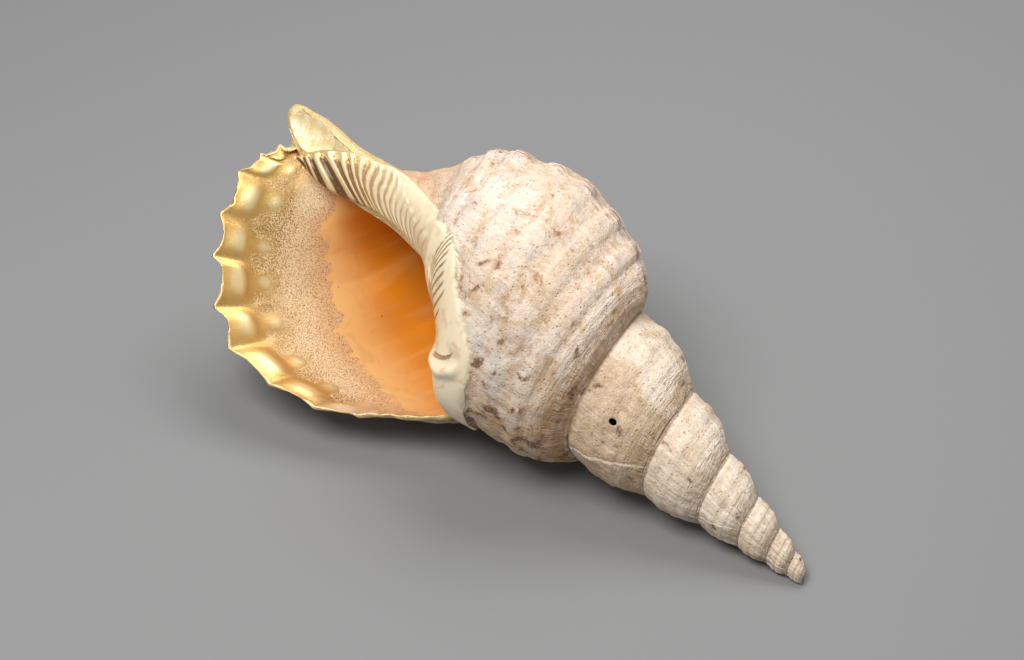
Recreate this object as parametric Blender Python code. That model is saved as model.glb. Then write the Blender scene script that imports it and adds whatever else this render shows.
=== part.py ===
"""Triton shell: one grown piece, modelled in the shell's own axes and then laid down.

The shell's own axes: the coiling axis is the z axis with the apex up, h is the distance
below the point where the coil would start, q is the distance from the coiling axis, and
a is the angle behind the outer lip, so that a grows towards the apex. Lengths here are
in millimetres and become metres when the mesh is made.
"""
import math

import bmesh
import bpy
import numpy as np
from mathutils import Matrix, Vector

TURN = 2.0 * math.pi

# the coil
LIP_HEIGHT = 215.86
GROWTH = 0.0502
SPIRE_RATIO = 0.2370
BODY_RATIO_GAIN = 0.0788
RATIO_SHIFT = 0.1086
RATIO_SPAN = 1.2017
APEX_HEIGHT = 32.5
TIP_HEIGHT = 408.0

# how much slimmer the spire is than the plain cone, and how far it leans, by height
SLIM_AT = [30.0, 33.0, 45.0, 62.0, 85.0, 100.0, 125.0, 150.0, 165.0]
SLIM = [0.68, 0.70, 0.765, 0.81, 0.86, 0.90, 0.95, 0.985, 1.0]
LEAN_AT = [33.0, 60.0, 100.0, 125.0, 155.0, 178.0]
LEAN = [-0.8, -1.1, -1.15, -1.4, -2.0, 0.0]

# depth and half width of the groove along the suture
SEAM = 0.6
SEAM_HALF = 0.022

# wall and hollow, and the angle over which the wall thickens behind the lip
WALL = 4.2
LIP_WALL = 3.4
WALL_SPAN = 0.6
INNER_COAT = 1.3
HOLLOW_START = -0.26
HOLLOW_END = 15.6

# flattening under the aperture: depth, place along the outline, and the angles where it runs in and out
DIP = 17.0
DIP_AT = 1.47
DIP_HALF = 0.27
DIP_IN = (250.0, 75.0)
DIP_OUT = (460.0, 90.0)

# lip: how far behind the edge the flare and the teeth begin
FLARE_SPAN = 0.85
FLARE_POWER = 2.2
TOOTH_SPAN = 0.16
TOOTH_FALL = 1.3

# the end of the neck leans to the back: how far, from which height, over what length and radius
NECK_LEAN = 11.0
NECK_LEAN_FROM = 335.0
NECK_LEAN_OVER = 69.0
NECK_LEAN_RADIUS = 34.0

# rounded end of the canal: how far it bulges, and how far out its ring lies
END_DOME = 5.0
END_SHARES = [0.7]

# how it lies: the direction that ends up pointing up, and how much the floor takes off
UP = (-0.5420, -0.7660, -0.3456)
SINK = 0.7

# mesh
COLUMNS = 96
UPPER_ROWS = 18
BASE_ROWS = 26
NECK_ROWS = 9
TRIANGLES = 9800

# how far the whorl swells beyond the line from suture to suture, as a share of that line
SWELL_AT = [0.0, 0.05, 0.14, 0.25, 0.40, 0.60, 0.80, 0.93, 1.0]
BODY_SWELL = [0.0, 0.052, 0.115, 0.145, 0.153, 0.120, 0.075, 0.030, 0.0]
SPIRE_SWELL = [0.0, 0.022, 0.050, 0.082, 0.112, 0.110, 0.085, 0.045, 0.0]

# the base of the whorl, as shares of the suture height
BASE_H = [1.3705, 1.410, 1.475, 1.540, 1.605, 1.6377, 1.670, 1.7028, 1.735, 1.768, 1.800]
BASE_Q = [0.4266, 0.4262, 0.4046, 0.3758, 0.3536, 0.3254, 0.2934, 0.2272, 0.1611, 0.118, 0.0857]

# half widths of the neck at five heights, by angle behind the lip in degrees
NECK_AT = [0.0, 90.0, 180.0, 270.0, 360.0]
NECK_Q = [
    [18.5, 20.0, 22.0, 22.0, 18.0],
    [16.5, 13.0, 11.0, 9.5, 6.0],
    [15.8, 9.5, 6.5, 6.3, 3.0],
    [14.6, 12.0, 11.0, 9.0, 5.0],
    [13.5, 12.4, 17.0, 20.0, 12.0],
]

# where the flared edge of the lip runs: position along the profile, h and q
LIP_LINE = [
    (0.00, 215.86, 60.6), (0.14, 225.9, 73.6), (0.25, 237.9, 84.1), (0.40, 251.9, 95.1),
    (0.60, 270.5, 109.5), (0.80, 289.5, 116.5), (1.00, 307.5, 120.0), (1.10, 320.0, 121.5),
    (1.20, 337.0, 120.5), (1.30, 353.5, 113.5), (1.40, 367.5, 103.0), (1.50, 378.5, 92.5),
    (1.60, 388.0, 83.0), (1.70, 396.0, 69.5), (1.80, 402.0, 57.0), (1.90, 404.5, 45.0),
    (2.00, 404.0, 36.0), (2.50, 401.0, 26.5), (3.00, 395.0, 17.0),
]

# spiral cords: position along the profile, half width in that measure, height
CORDS = [
    (0.26, 0.085, 0.9), (0.44, 0.080, 1.2), (0.70, 0.100, 1.3), (0.985, 0.100, 1.3),
    (1.20, 0.065, 1.3), (1.36, 0.060, 1.3), (1.53, 0.055, 1.2), (1.67, 0.050, 1.1),
    (1.82, 0.045, 0.9), (1.95, 0.040, 0.7),
]

# the furrows between the cords: depth on the body and on the spire, and the share of it at the apex
FURROW = 1.7
SPIRE_FURROW = 1.4
APEX_SHARE = 0.35
SPIRE_CORDS = 0.55

# low cord beside the suture: place, half width, height
HEM = (0.105, 0.045, 0.9)

# teeth along the lip: place along the outline, how far each stands out, half width
TEETH = [0.12, 0.20, 0.28, 0.37, 0.47, 0.70, 1.00, 1.20, 1.338, 1.52, 1.68, 1.865, 2.06, 2.60]
REACH = [0.4, 0.6, 0.8, 1.0, 1.5, 1.6, 2.0, 3.4, 5.6, 5.6, 4.8, 4.6, 4.0, 4.5]
TOOTH_HALF = [0.040] * 5 + [0.055] * 7 + [0.10, 0.16]
BULGE_AT = [0.0, 0.30, 0.47, 0.70, 1.00, 1.20, 1.30, 1.75, 1.90, 2.10, 3.00]
BULGE = [0.0, 0.0, 0.5, 1.0, 2.2, 2.2, 0.8, 0.6, 1.5, 1.5, 0.5]

# callus: thickness, and its outer edge as place along the outline and angle behind the lip
CALLUS = 1.2
CALLUS_BLEND = 8.0
CALLUS_AT = [0.0, 0.83, 0.85, 0.87, 0.92, 1.09, 1.26, 1.35, 1.62, 2.0]
CALLUS_ANGLE = [400.0, 400.0, 330.0, 311.0, 297.5, 287.5, 276.0, 264.0, 260.0, 260.0]

# swelling of the callus on the wall of the mouth: height, place and half size
RIDGE = 7.0
RIDGE_AT = (340.0, 1.07)
RIDGE_HALF = (24.0, 0.20)

# tooth on that wall: place, slope in degrees, half width, height, and where it runs in and out
PARIETAL_AT = (313.1, 0.962)
PARIETAL_SLOPE = 60.0
PARIETAL_HALF = 3.6
PARIETAL_RISE = 3.0
PARIETAL_IN = (0.93, 0.06)
PARIETAL_OUT = (1.30, 0.12)

# columella band: far edge (h, x, y) and aperture edge (h, x, y), from the canal upwards
BAND = [
    ((387.0, 21.5, -1.0), (386.0, 22.3, -0.5)),
    ((384.0, 17.4, -3.5), (371.6, 23.2, -1.5)),
    ((380.5, 13.5, -6.0), (360.0, 22.4, -3.5)),
    ((375.0, 8.0, -8.5), (344.5, 17.4, -5.5)),
    ((366.0, 1.6, -10.0), (326.0, 12.8, -6.5)),
    ((359.6, -2.4, -11.0), (314.3, 11.6, -7.5)),
    ((345.0, -7.3, -12.5), (302.6, 12.0, -8.5)),
    ((335.8, -10.8, -13.5), (291.9, 14.3, -12.0)),
    ((325.0, -12.0, -15.0), (284.0, 17.0, -20.0)),
    ((313.0, -11.4, -19.0), (278.0, 18.5, -30.0)),
    ((299.0, -9.5, -28.0), (272.0, 20.5, -38.0)),
    ((289.0, -8.0, -36.0), (269.0, 22.0, -36.0)),
]

# thickness of the band above and below its line
BAND_CROWN = 3.2
BAND_DEPTH = 9.0

# small drilled hole in the whorl above the body
HOLE_AT = (147.4, 9.4, -37.0)
HOLE_RADIUS = 2.2
HOLE_DEPTH = 16.0

# hollow between the band and the end of the neck: middle, directions, half sizes
FOLD_AT = (392.5, 6.5, -2.0)
FOLD_ALONG = (-0.127, -0.33, 0.936)
FOLD_SIDE = (-0.75, -0.10, -0.65)
FOLD_HALF = (21.0, 11.0, 8.0)

# earlier outer lips left as ridges: angle behind the lip in degrees, slant, height
VARICES = [(206.0, 0.0, 4.0), (445.0, 10.0, 2.2), (665.0, 32.0, 1.1), (1009.0, 34.0, 0.7)]
VARIX_BEHIND = 30.0
VARIX_AHEAD = 16.0
VARIX_DROP = 2.5


def smooth_step(x):
    t = np.clip(x, 0.0, 1.0)
    return t * t * (3.0 - 2.0 * t)


def bump_at(x, middle, half):
    return np.exp(-((x - middle) / half) ** 2)


def through(xs, ys, x):
    """Smooth curve through the points, without overshoot between them."""
    xs = np.asarray(xs, float)
    ys = np.asarray(ys, float)
    gap = np.diff(xs)
    slope = np.diff(ys) / gap
    turn = np.zeros_like(ys)
    turn[0] = slope[0]
    turn[-1] = slope[-1]
    same = slope[:-1] * slope[1:] > 0.0
    w1 = 2.0 * gap[1:] + gap[:-1]
    w2 = gap[1:] + 2.0 * gap[:-1]
    safe0 = np.where(same, slope[:-1], 1.0)
    safe1 = np.where(same, slope[1:], 1.0)
    turn[1:-1] = np.where(same, (w1 + w2) / (w1 / safe0 + w2 / safe1), 0.0)
    x = np.clip(x, xs[0], xs[-1])
    k = np.clip(np.searchsorted(xs, x, side="right") - 1, 0, len(xs) - 2)
    t = (x - xs[k]) / gap[k]
    a = ys[k] * (1.0 + 2.0 * t) * (1.0 - t) ** 2
    b = turn[k] * gap[k] * t * (1.0 - t) ** 2
    c = ys[k + 1] * t * t * (3.0 - 2.0 * t)
    d = turn[k + 1] * gap[k] * t * t * (t - 1.0)
    return a + b + c + d


def suture(u):
    """Height and radius of the suture; u is minus the angle behind the lip."""
    h = LIP_HEIGHT * np.exp(GROWTH * u)
    lift = 1.0 / (1.0 + np.exp(-np.clip((u + RATIO_SHIFT) / RATIO_SPAN, -50.0, 50.0)))
    return h, (SPIRE_RATIO + BODY_RATIO_GAIN * lift) * through(SLIM_AT, SLIM, h) * h


def upper_profile(u, v):
    """The part of a whorl from its own suture down to the next one."""
    h0, q0 = suture(u)
    h1, q1 = suture(u + TURN)
    body = 1.0 / (1.0 + np.exp(-np.clip((u + 2.6 * math.pi) / 0.6, -50.0, 50.0)))
    body = body * (1.0 - 0.28 * smooth_step(1.0 + u / 1.3))
    swell = body * through(SWELL_AT, BODY_SWELL, v) + (1.0 - body) * through(SWELL_AT, SPIRE_SWELL, v)
    run = h1 - h0
    rise = q1 - q0
    return h0 + run * v - rise * swell, q0 + rise * v + run * swell


def base_profile(u, w):
    """The part of a whorl from the next suture line down to the neck."""
    h0, q0 = suture(u)
    h1, q1 = suture(u + TURN)
    at = np.linspace(0.0, 1.0, len(BASE_H))
    share = q1 / h0 / BASE_Q[0]
    lift = h1 / h0 / BASE_H[0]
    return through(at, BASE_H, w) * h0 * lift, through(at, BASE_Q, w) * h0 * share


def neck_profile(u, t):
    """The neck below the base, down to the end of the canal."""
    h0, q0 = base_profile(u, 1.0)
    h = h0 + (TIP_HEIGHT - h0) * t
    at = np.linspace(0.0, 1.0, 5)
    degrees = np.clip(np.degrees(-u), 0.0, 360.0)
    widths = np.array([through(NECK_AT, [row[k] for row in NECK_Q], degrees) for k in range(5)])
    q = through(at, widths, t)
    if u < -TURN:
        own = 0.079 * suture(u)[0]
        q = q + (own - q) * smooth_step((-u - TURN) / 1.1)
    return h, q


def plain_profile(u, c):
    """Whole outline of a whorl at u without the flare; c runs 0 suture, 1, 2 neck, 3 end."""
    h = np.empty_like(c)
    q = np.empty_like(c)
    top = c <= 1.0
    mid = (c > 1.0) & (c <= 2.0)
    low = c > 2.0
    h[top], q[top] = upper_profile(u, c[top])
    h[mid], q[mid] = base_profile(u, c[mid] - 1.0)
    h[low], q[low] = neck_profile(u, c[low] - 2.0)
    return h, q


def parietal_dip(u, c):
    """The wall that the aperture rests on is flatter than the rest of the whorl."""
    a = np.degrees(-u)
    near = smooth_step((a - DIP_IN[0]) / DIP_IN[1]) * smooth_step((DIP_OUT[0] - a) / DIP_OUT[1])
    return DIP * near * bump_at(c, DIP_AT, DIP_HALF)


def flare_amount(a):
    return np.clip(1.0 - a / FLARE_SPAN, 0.0, 1.4) ** FLARE_POWER


def whorl_outline(u, c):
    """Outline of a whorl at u with the flare of the lip."""
    h, q = plain_profile(u, c)
    q = q - parietal_dip(u, c)
    amount = flare_amount(-u)
    if amount > 0.0:
        c_line = [p[0] for p in LIP_LINE]
        lip_h = through(c_line, [p[1] for p in LIP_LINE], c)
        lip_q = through(c_line, [p[2] for p in LIP_LINE], c)
        plain_h, plain_q = plain_profile(0.0, c)
        h = h + (lip_h - plain_h) * amount
        q = q + (lip_q - plain_q) * amount
    return h, q


def cord_height(c):
    total = np.zeros_like(c)
    for place, half, height in CORDS:
        x = np.clip(np.abs(c - place) / half, 0.0, 1.0)
        total = total + height * (1.0 - x ** 4) ** 2
    return total


def varix_height(u, c):
    a = math.degrees(-u)
    total = np.zeros_like(c)
    knob = cord_height(c) / 1.3
    for place, slant, height in VARICES:
        behind = a - place - slant * np.clip(c, 0.0, 1.0)
        rise = np.clip(1.0 - behind / VARIX_BEHIND, 0.0, 1.0) ** 2 * (0.75 + 0.25 * knob)
        ahead = np.clip(-behind, 0.0, VARIX_AHEAD)
        fall = 0.75 * np.clip(1.0 - ahead / VARIX_DROP, 0.0, 1.0)
        pad = 0.55 * knob * np.sin(math.pi * ahead / VARIX_AHEAD)
        total = total + height * np.where(behind >= 0.0, rise, fall + pad)
    return total


def callus_edge(c):
    """Angle behind the lip, in degrees, where the callus ends."""
    return through(CALLUS_AT, CALLUS_ANGLE, c)


def relief(u, c):
    """Height of the cords, ridges and old lips above the plain outline."""
    size = suture(u)[0] / LIP_HEIGHT
    scale = APEX_SHARE + (1.0 - APEX_SHARE) * size
    spire = smooth_step((-u - TURN) / 1.5)
    edge = smooth_step(c / 0.10)
    seam = bump_at(c, 0.0, SEAM_HALF)
    callus = np.zeros_like(c)
    a = np.degrees(-u)
    if u < -TURN - 0.01:
        edge = edge * smooth_step((1.0 - c) / 0.06)
        seam = seam + bump_at(c, 1.0, SEAM_HALF)
    else:
        callus = smooth_step((a - callus_edge(c)) / CALLUS_BLEND)
    furrow = (FURROW + (SPIRE_FURROW - FURROW) * spire) * scale
    cords = cord_height(c) * (1.0 + (SPIRE_CORDS - 1.0) * spire) * scale
    hem = HEM[2] * bump_at(c, HEM[0], HEM[1]) * size
    swelling = RIDGE * bump_at(a, RIDGE_AT[0], RIDGE_HALF[0]) * bump_at(c, RIDGE_AT[1], RIDGE_HALF[1])
    off = a - PARIETAL_AT[0] - PARIETAL_SLOPE * (c - PARIETAL_AT[1])
    tooth = PARIETAL_RISE * bump_at(off, 0.0, PARIETAL_HALF)
    tooth = tooth * smooth_step((c - PARIETAL_IN[0]) / PARIETAL_IN[1])
    tooth = tooth * smooth_step((PARIETAL_OUT[0] - c) / PARIETAL_OUT[1])
    fade = 1.0 - smooth_step((c - 2.0) / 0.25)
    rough = (cords + hem - furrow) * (1.0 - callus)
    total = rough + CALLUS * callus + swelling + tooth + varix_height(u, c)
    return total * edge * fade - SEAM * scale * seam


def pushed_out(h, q, amount):
    """Move the outline along its own outward normal."""
    dh = np.gradient(h)
    dq = np.gradient(q)
    size = np.hypot(dh, dq) + 1e-9
    return h - dq / size * amount, q + dh / size * amount


def tooth_push(a, c, sharp):
    """Teeth along the edge of the lip, and the bulge of the edge between them."""
    total = np.zeros_like(c)
    if a < TOOTH_SPAN:
        for place, reach, half in zip(TEETH, REACH, TOOTH_HALF):
            x = np.clip(np.abs(c - place) / half, 0.0, 1.0)
            total = np.maximum(total, reach * (1.0 - x) ** sharp)
        total = total + through(BULGE_AT, BULGE, c)
    return total * (1.0 - np.clip(a / TOOTH_SPAN, 0.0, 1.0)) ** TOOTH_FALL


def bend(x, y, h):
    """The end of the neck leans to the back of the shell, and the spire a little to one side."""
    lean = NECK_LEAN * np.clip((h - NECK_LEAN_FROM) / NECK_LEAN_OVER, 0.0, 1.2) ** 1.6
    near = np.exp(-(np.hypot(x, y) / NECK_LEAN_RADIUS) ** 4)
    return x + through(LEAN_AT, LEAN, h), y + lean * near, h


def space_point(h, q, a):
    x, y, h = bend(q * np.cos(a), q * np.sin(a), h)
    return np.stack([x, y, -h], axis=-1)


def shell_skin():
    """Outer skin of the shell as one closed mesh: points and faces."""
    du = TURN / COLUMNS
    first = math.log(APEX_HEIGHT / LIP_HEIGHT) / GROWTH - TURN
    count = int(round(-first / du))
    upper = np.linspace(0.0, 1.0, UPPER_ROWS + 1)
    lower = 1.0 + np.linspace(0.0, 1.0, BASE_ROWS + 1)[1:]
    neck = 2.0 + np.linspace(0.0, 1.0, NECK_ROWS + 1)[1:]
    rows = np.concatenate([upper, lower, neck])
    points = []
    ids = {}
    for i in range(count + 1):
        u = (i - count) * du
        whole = i >= count - COLUMNS
        c = rows if whole else upper
        h, q = whorl_outline(u, c)
        h, q = pushed_out(h, q, relief(u, c) + tooth_push(-u, c, 1.6))
        if i + COLUMNS <= count:
            h[UPPER_ROWS], q[UPPER_ROWS] = suture(u + TURN)
        p = space_point(h, q, -u)
        for j in range(len(c)):
            if j == UPPER_ROWS and i + COLUMNS <= count:
                continue
            ids[(i, j)] = len(points)
            points.append(p[j])
    for i in range(count - COLUMNS + 1):
        ids[(i, UPPER_ROWS)] = ids[(i + COLUMNS, 0)]
    faces = []
    for i in range(count):
        deep = len(rows) - 1 if i >= count - COLUMNS else UPPER_ROWS
        for j in range(deep):
            faces.append([ids[(i, j)], ids[(i, j + 1)], ids[(i + 1, j + 1)], ids[(i + 1, j)]])
    apex = [ids[(i, 0)] for i in range(COLUMNS + 1)] + [ids[(0, j)] for j in range(UPPER_ROWS - 1, 0, -1)]
    top = len(points)
    points.append(np.array([0.0, 0.0, -APEX_HEIGHT + 0.6]))
    for k in range(len(apex)):
        faces.append([apex[k], apex[(k + 1) % len(apex)], top])
    last = len(rows) - 1
    ring = [ids[(i, last)] for i in range(count - COLUMNS, count + 1)]
    middle = np.mean([points[k] for k in ring], axis=0)
    for share in END_SHARES:
        drop = np.array([0.0, 0.0, END_DOME * math.sqrt(1.0 - share * share)])
        new = list(range(len(points), len(points) + len(ring)))
        points += [middle + (points[k] - middle) * share - drop for k in ring]
        for k in range(len(ring)):
            n = (k + 1) % len(ring)
            faces.append([ring[n], ring[k], new[k], new[n]])
        ring = new
    low = len(points)
    points.append(middle - np.array([0.0, 0.0, END_DOME]))
    for k in range(len(ring)):
        faces.append([ring[(k + 1) % len(ring)], ring[k], low])
    start = count - COLUMNS
    mouth = [ids[(count, j)] for j in range(last + 1)]
    mouth += [ids[(start, j)] for j in range(last, UPPER_ROWS, -1)]
    faces.append(mouth)
    return np.array(points), faces


def hollow_section(a):
    """Closed outline of the hollow at the angle a behind the lip."""
    u = -a
    outer_parts = (np.linspace(0.02, 1.0, 80), np.linspace(1.01, 2.0, 110), np.linspace(2.03, 3.0, 40))
    c = np.concatenate(outer_parts)
    wall = WALL + (LIP_WALL - WALL) * smooth_step(1.0 - a / WALL_SPAN)
    wall = wall * min(1.0, (suture(u)[0] / LIP_HEIGHT) ** 0.6)
    h, q = whorl_outline(u, c)
    h, q = pushed_out(h, q, tooth_push(max(a, 0.0), c, 2.2) - wall)
    inner_parts = (np.linspace(0.86, 1.0, 12), np.linspace(1.01, 2.0, 110), np.linspace(2.03, 3.0, 60))
    d = np.concatenate(inner_parts)
    g, r = whorl_outline(u - TURN, d)
    g, r = pushed_out(g, r, INNER_COAT * np.ones_like(d))
    inner = np.interp(h, g, r)
    free = q - inner
    open_at = np.nonzero(free > 1.2)[0]
    first = open_at[0]
    shut = np.nonzero((free < 1.8) & (np.arange(len(c)) > first + 60))[0]
    last = shut[0] if len(shut) else len(c) - 1
    h, q = h[first:last], q[first:last]
    inside = (g > h[0]) & (g < h[-1])
    g, r = g[inside][::-1], r[inside][::-1]
    return even_points(h, q, 44), even_points(g, r, 30)


def even_points(h, q, number):
    step = np.hypot(np.diff(h), np.diff(q))
    along = np.concatenate([[0.0], np.cumsum(step)])
    at = np.linspace(0.0, along[-1], number)
    return np.interp(at, along, h), np.interp(at, along, q)


def hollow_tool():
    """The winding hollow as a closed tube."""
    angles = np.concatenate([
        np.linspace(HOLLOW_START, 0.9, 26),
        np.linspace(0.9, HOLLOW_END, 200)[1:],
    ])
    points = []
    rings = []
    for a in angles:
        outer, inner = hollow_section(a)
        h = np.concatenate([outer[0], inner[0]])
        q = np.concatenate([outer[1], inner[1]])
        p = space_point(h, q, a)
        rings.append(list(range(len(points), len(points) + len(p))))
        points.extend(p)
    faces = loft_faces(rings)
    return np.array(points), faces


def band_pad():
    """Strip of thickened shell along the columella, as a closed loft."""
    at = np.arange(len(BAND), dtype=float)
    fine = np.linspace(0.0, len(BAND) - 1.0, 40)
    far = np.stack([through(at, [b[0][k] for b in BAND], fine) for k in range(3)], axis=1)
    near = np.stack([through(at, [b[1][k] for b in BAND], fine) for k in range(3)], axis=1)
    points = []
    rings = []
    across = np.linspace(0.0, 1.0, 9)
    for k in range(len(fine)):
        size = min(1.0, 0.25 + fine[k] / 2.0) * min(1.0, 0.2 + (len(BAND) - 1.0 - fine[k]) / 2.0)
        line = far[k] + (near[k] - far[k]) * across[:, None]
        crown = BAND_CROWN * size * np.sin(math.pi * across) ** 0.7
        front = np.stack([line[:, 1], line[:, 2] - crown, -line[:, 0]], axis=1)
        back = front[1:-1][::-1].copy()
        back[:, 1] = line[1:-1, 2][::-1] + BAND_DEPTH * size
        ring = np.concatenate([front, back])
        rings.append(list(range(len(points), len(points) + len(ring))))
        points.extend(ring)
    return np.array(points), loft_faces(rings)


def primitive_tool(name, make, place, collection):
    """Tool made from a primitive, placed by a matrix in metres."""
    mesh = bpy.data.meshes.new(name)
    work = bmesh.new()
    make(work)
    bmesh.ops.transform(work, matrix=place, verts=work.verts)
    bmesh.ops.recalc_face_normals(work, faces=work.faces)
    work.to_mesh(mesh)
    work.free()
    item = bpy.data.objects.new(name, mesh)
    collection.objects.link(item)
    return item


def fold_place():
    """Axes of the rounded hollow beside the end of the band, in the shell's own axes."""
    along = Vector(FOLD_ALONG).normalized()
    deep = along.cross(Vector(FOLD_SIDE)).normalized()
    side = deep.cross(along)
    turn = Matrix((along, side, deep)).transposed().to_4x4()
    size = Matrix.Diagonal((FOLD_HALF[0], FOLD_HALF[1], FOLD_HALF[2], 1.0))
    return Matrix.Translation((FOLD_AT[1], FOLD_AT[2], -FOLD_AT[0])) @ turn @ size


def hole_place():
    """Axes of the short round hole through the wall of the whorl above the body."""
    out = Vector((HOLE_AT[1], HOLE_AT[2], 4.0)).normalized()
    turn = out.to_track_quat("Z", "X").to_matrix().to_4x4()
    size = Matrix.Diagonal((HOLE_RADIUS, 0.8 * HOLE_RADIUS, 1.0, 1.0))
    return Matrix.Translation((HOLE_AT[1], HOLE_AT[2], -HOLE_AT[0])) @ turn @ size


def make_ball(work):
    bmesh.ops.create_uvsphere(work, u_segments=24, v_segments=16, radius=1.0)


def make_pin(work):
    bmesh.ops.create_cone(work, cap_ends=True, segments=12, radius1=1.0, radius2=1.0, depth=HOLE_DEPTH)


def make_slab(work):
    bmesh.ops.create_cube(work, size=1.0)


def loft_faces(rings):
    size = len(rings[0])
    faces = []
    for one, two in zip(rings[:-1], rings[1:]):
        for k in range(size):
            n = (k + 1) % size
            faces.append([one[k], one[n], two[n], two[k]])
    faces.append(rings[0][::-1])
    faces.append(list(rings[-1]))
    return faces


def laid_down():
    """Turn from the shell's own axes to lying on the back of the body whorl and the apex."""
    up = Vector(UP).normalized()
    along = Vector((0.0, 0.0, -1.0))
    along = (along - up * along.dot(up)).normalized()
    side = up.cross(along)
    return Matrix((along, side, up)).to_4x4()


def add_step(shell, tool, kind):
    tool.hide_render = True
    tool.display_type = "WIRE"
    cut = shell.modifiers.new(tool.name, "BOOLEAN")
    cut.operation = kind
    cut.object = tool
    cut.solver = "EXACT"


def settle(item):
    """Take the modifiers into the mesh."""
    bpy.context.view_layer.update()
    graph = bpy.context.evaluated_depsgraph_get()
    mesh = bpy.data.meshes.new_from_object(item.evaluated_get(graph))
    item.modifiers.clear()
    item.data = mesh
    work = bmesh.new()
    work.from_mesh(mesh)
    bmesh.ops.triangulate(work, faces=work.faces)
    work.to_mesh(mesh)
    count = len(work.faces)
    work.free()
    return count


def slot(name, colour):
    made = bpy.data.materials.new(name)
    made.use_nodes = True
    shader = made.node_tree.nodes["Principled BSDF"]
    shader.inputs["Base Color"].default_value = colour
    shader.inputs["Roughness"].default_value = 0.5
    return made


def mesh_object(name, points, faces, place, collection):
    """Closed mesh object from points in millimetres."""
    mesh = bpy.data.meshes.new(name)
    moved = points @ np.array(place.to_3x3()).T * 0.001 + np.array(place.translation)
    mesh.from_pydata([tuple(p) for p in moved], [], faces)
    work = bmesh.new()
    work.from_mesh(mesh)
    bmesh.ops.triangulate(work, faces=[f for f in work.faces if len(f.verts) > 4])
    bmesh.ops.recalc_face_normals(work, faces=work.faces)
    work.to_mesh(mesh)
    work.free()
    mesh.shade_smooth()
    item = bpy.data.objects.new(name, mesh)
    collection.objects.link(item)
    return item


def main():
    for item in list(bpy.data.objects):
        bpy.data.objects.remove(item, do_unlink=True)
    parts = bpy.data.collections.new("triton_shell")
    tools = bpy.data.collections.new("tools")
    bpy.context.scene.collection.children.link(parts)
    bpy.context.scene.collection.children.link(tools)
    turn = laid_down()
    points, faces = shell_skin()
    low = (points @ np.array(turn.to_3x3()).T).min(axis=0)[2] + SINK
    place = Matrix.Translation((0.0, 0.0, -low * 0.001)) @ turn
    shell = mesh_object("shell", points, faces, place, parts)
    millimetres = place @ Matrix.Diagonal((0.001, 0.001, 0.001, 1.0))
    points, faces = hollow_tool()
    add_step(shell, mesh_object("hollow", points, faces, place, tools), "DIFFERENCE")
    add_step(shell, primitive_tool("fold", make_ball, millimetres @ fold_place(), tools), "DIFFERENCE")
    points, faces = band_pad()
    add_step(shell, mesh_object("band", points, faces, place, tools), "UNION")
    add_step(shell, primitive_tool("hole", make_pin, millimetres @ hole_place(), tools), "DIFFERENCE")
    count = settle(shell)
    fewer = shell.modifiers.new("fewer", "DECIMATE")
    fewer.ratio = TRIANGLES / count
    slab = Matrix.Translation((0.0, 0.0, -0.03)) @ Matrix.Diagonal((1.2, 1.2, 0.06, 1.0))
    add_step(shell, primitive_tool("floor", make_slab, slab, tools), "DIFFERENCE")
    settle(shell)
    corners = np.array([v.co[:] for v in shell.data.vertices])
    middle = (corners.min(axis=0) + corners.max(axis=0)) / 2.0
    for item in [shell] + list(tools.objects):
        item.data.transform(Matrix.Translation((-middle[0], -middle[1], 0.0)))
    shell.data.materials.clear()
    shell.data.materials.append(slot("shell", (0.72, 0.62, 0.50, 1.0)))
    shell.data.shade_smooth()
    return Matrix.Translation((-middle[0], -middle[1], 0.0)) @ place


main()
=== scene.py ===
"""Looks of the triton shell: one finely modelled shell, its paint and stains, and the studio.

The shell is made in its own axes and then laid down. The coiling axis is the z axis with the
apex up, h is the distance below the point where the coil would start, q the distance from the
axis, and a the angle behind the outer lip. The place along a whorl's outline is c: 0 at the
suture, 1 at the next suture line, 2 at the neck and 3 at the end of the canal. Lengths are in
millimetres until the mesh is made.
"""

import math
from types import SimpleNamespace

import bmesh
import bpy
import numpy as np
from mathutils import Matrix, Vector
from numpy import concatenate as joined


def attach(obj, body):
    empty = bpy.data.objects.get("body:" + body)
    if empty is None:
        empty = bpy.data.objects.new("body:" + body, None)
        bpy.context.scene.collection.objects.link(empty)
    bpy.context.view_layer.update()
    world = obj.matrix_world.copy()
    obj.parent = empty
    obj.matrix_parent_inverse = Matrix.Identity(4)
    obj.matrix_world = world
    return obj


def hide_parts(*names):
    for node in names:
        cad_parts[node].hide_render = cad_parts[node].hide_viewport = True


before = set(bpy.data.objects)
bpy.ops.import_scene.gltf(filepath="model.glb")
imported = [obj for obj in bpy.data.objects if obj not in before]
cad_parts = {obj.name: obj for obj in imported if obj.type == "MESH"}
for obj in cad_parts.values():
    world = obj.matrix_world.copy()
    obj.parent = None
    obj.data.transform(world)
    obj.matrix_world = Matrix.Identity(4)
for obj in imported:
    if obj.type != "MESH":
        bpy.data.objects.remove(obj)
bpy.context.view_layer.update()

TURN = 2.0 * math.pi

# the coil
LIP_HEIGHT = 215.86
GROWTH = 0.0502
SPIRE_RATIO = 0.2370
BODY_RATIO_GAIN = 0.0788
RATIO_SHIFT = 0.1086
RATIO_SPAN = 1.2017
APEX_HEIGHT = 32.5
TIP_HEIGHT = 408.0
# how much slimmer the spire is than the plain cone, and how far it leans, by height
SLIM_AT = [30.0, 33.0, 45.0, 62.0, 85.0, 100.0, 125.0, 150.0, 165.0]
SLIM = [0.68, 0.70, 0.765, 0.81, 0.86, 0.90, 0.95, 0.985, 1.0]
LEAN_AT = [33.0, 60.0, 100.0, 125.0, 155.0, 178.0]
LEAN = [-0.8, -1.1, -1.15, -1.4, -2.0, 0.0]
SEAM = 0.6
SEAM_HALF = 0.022
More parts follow.
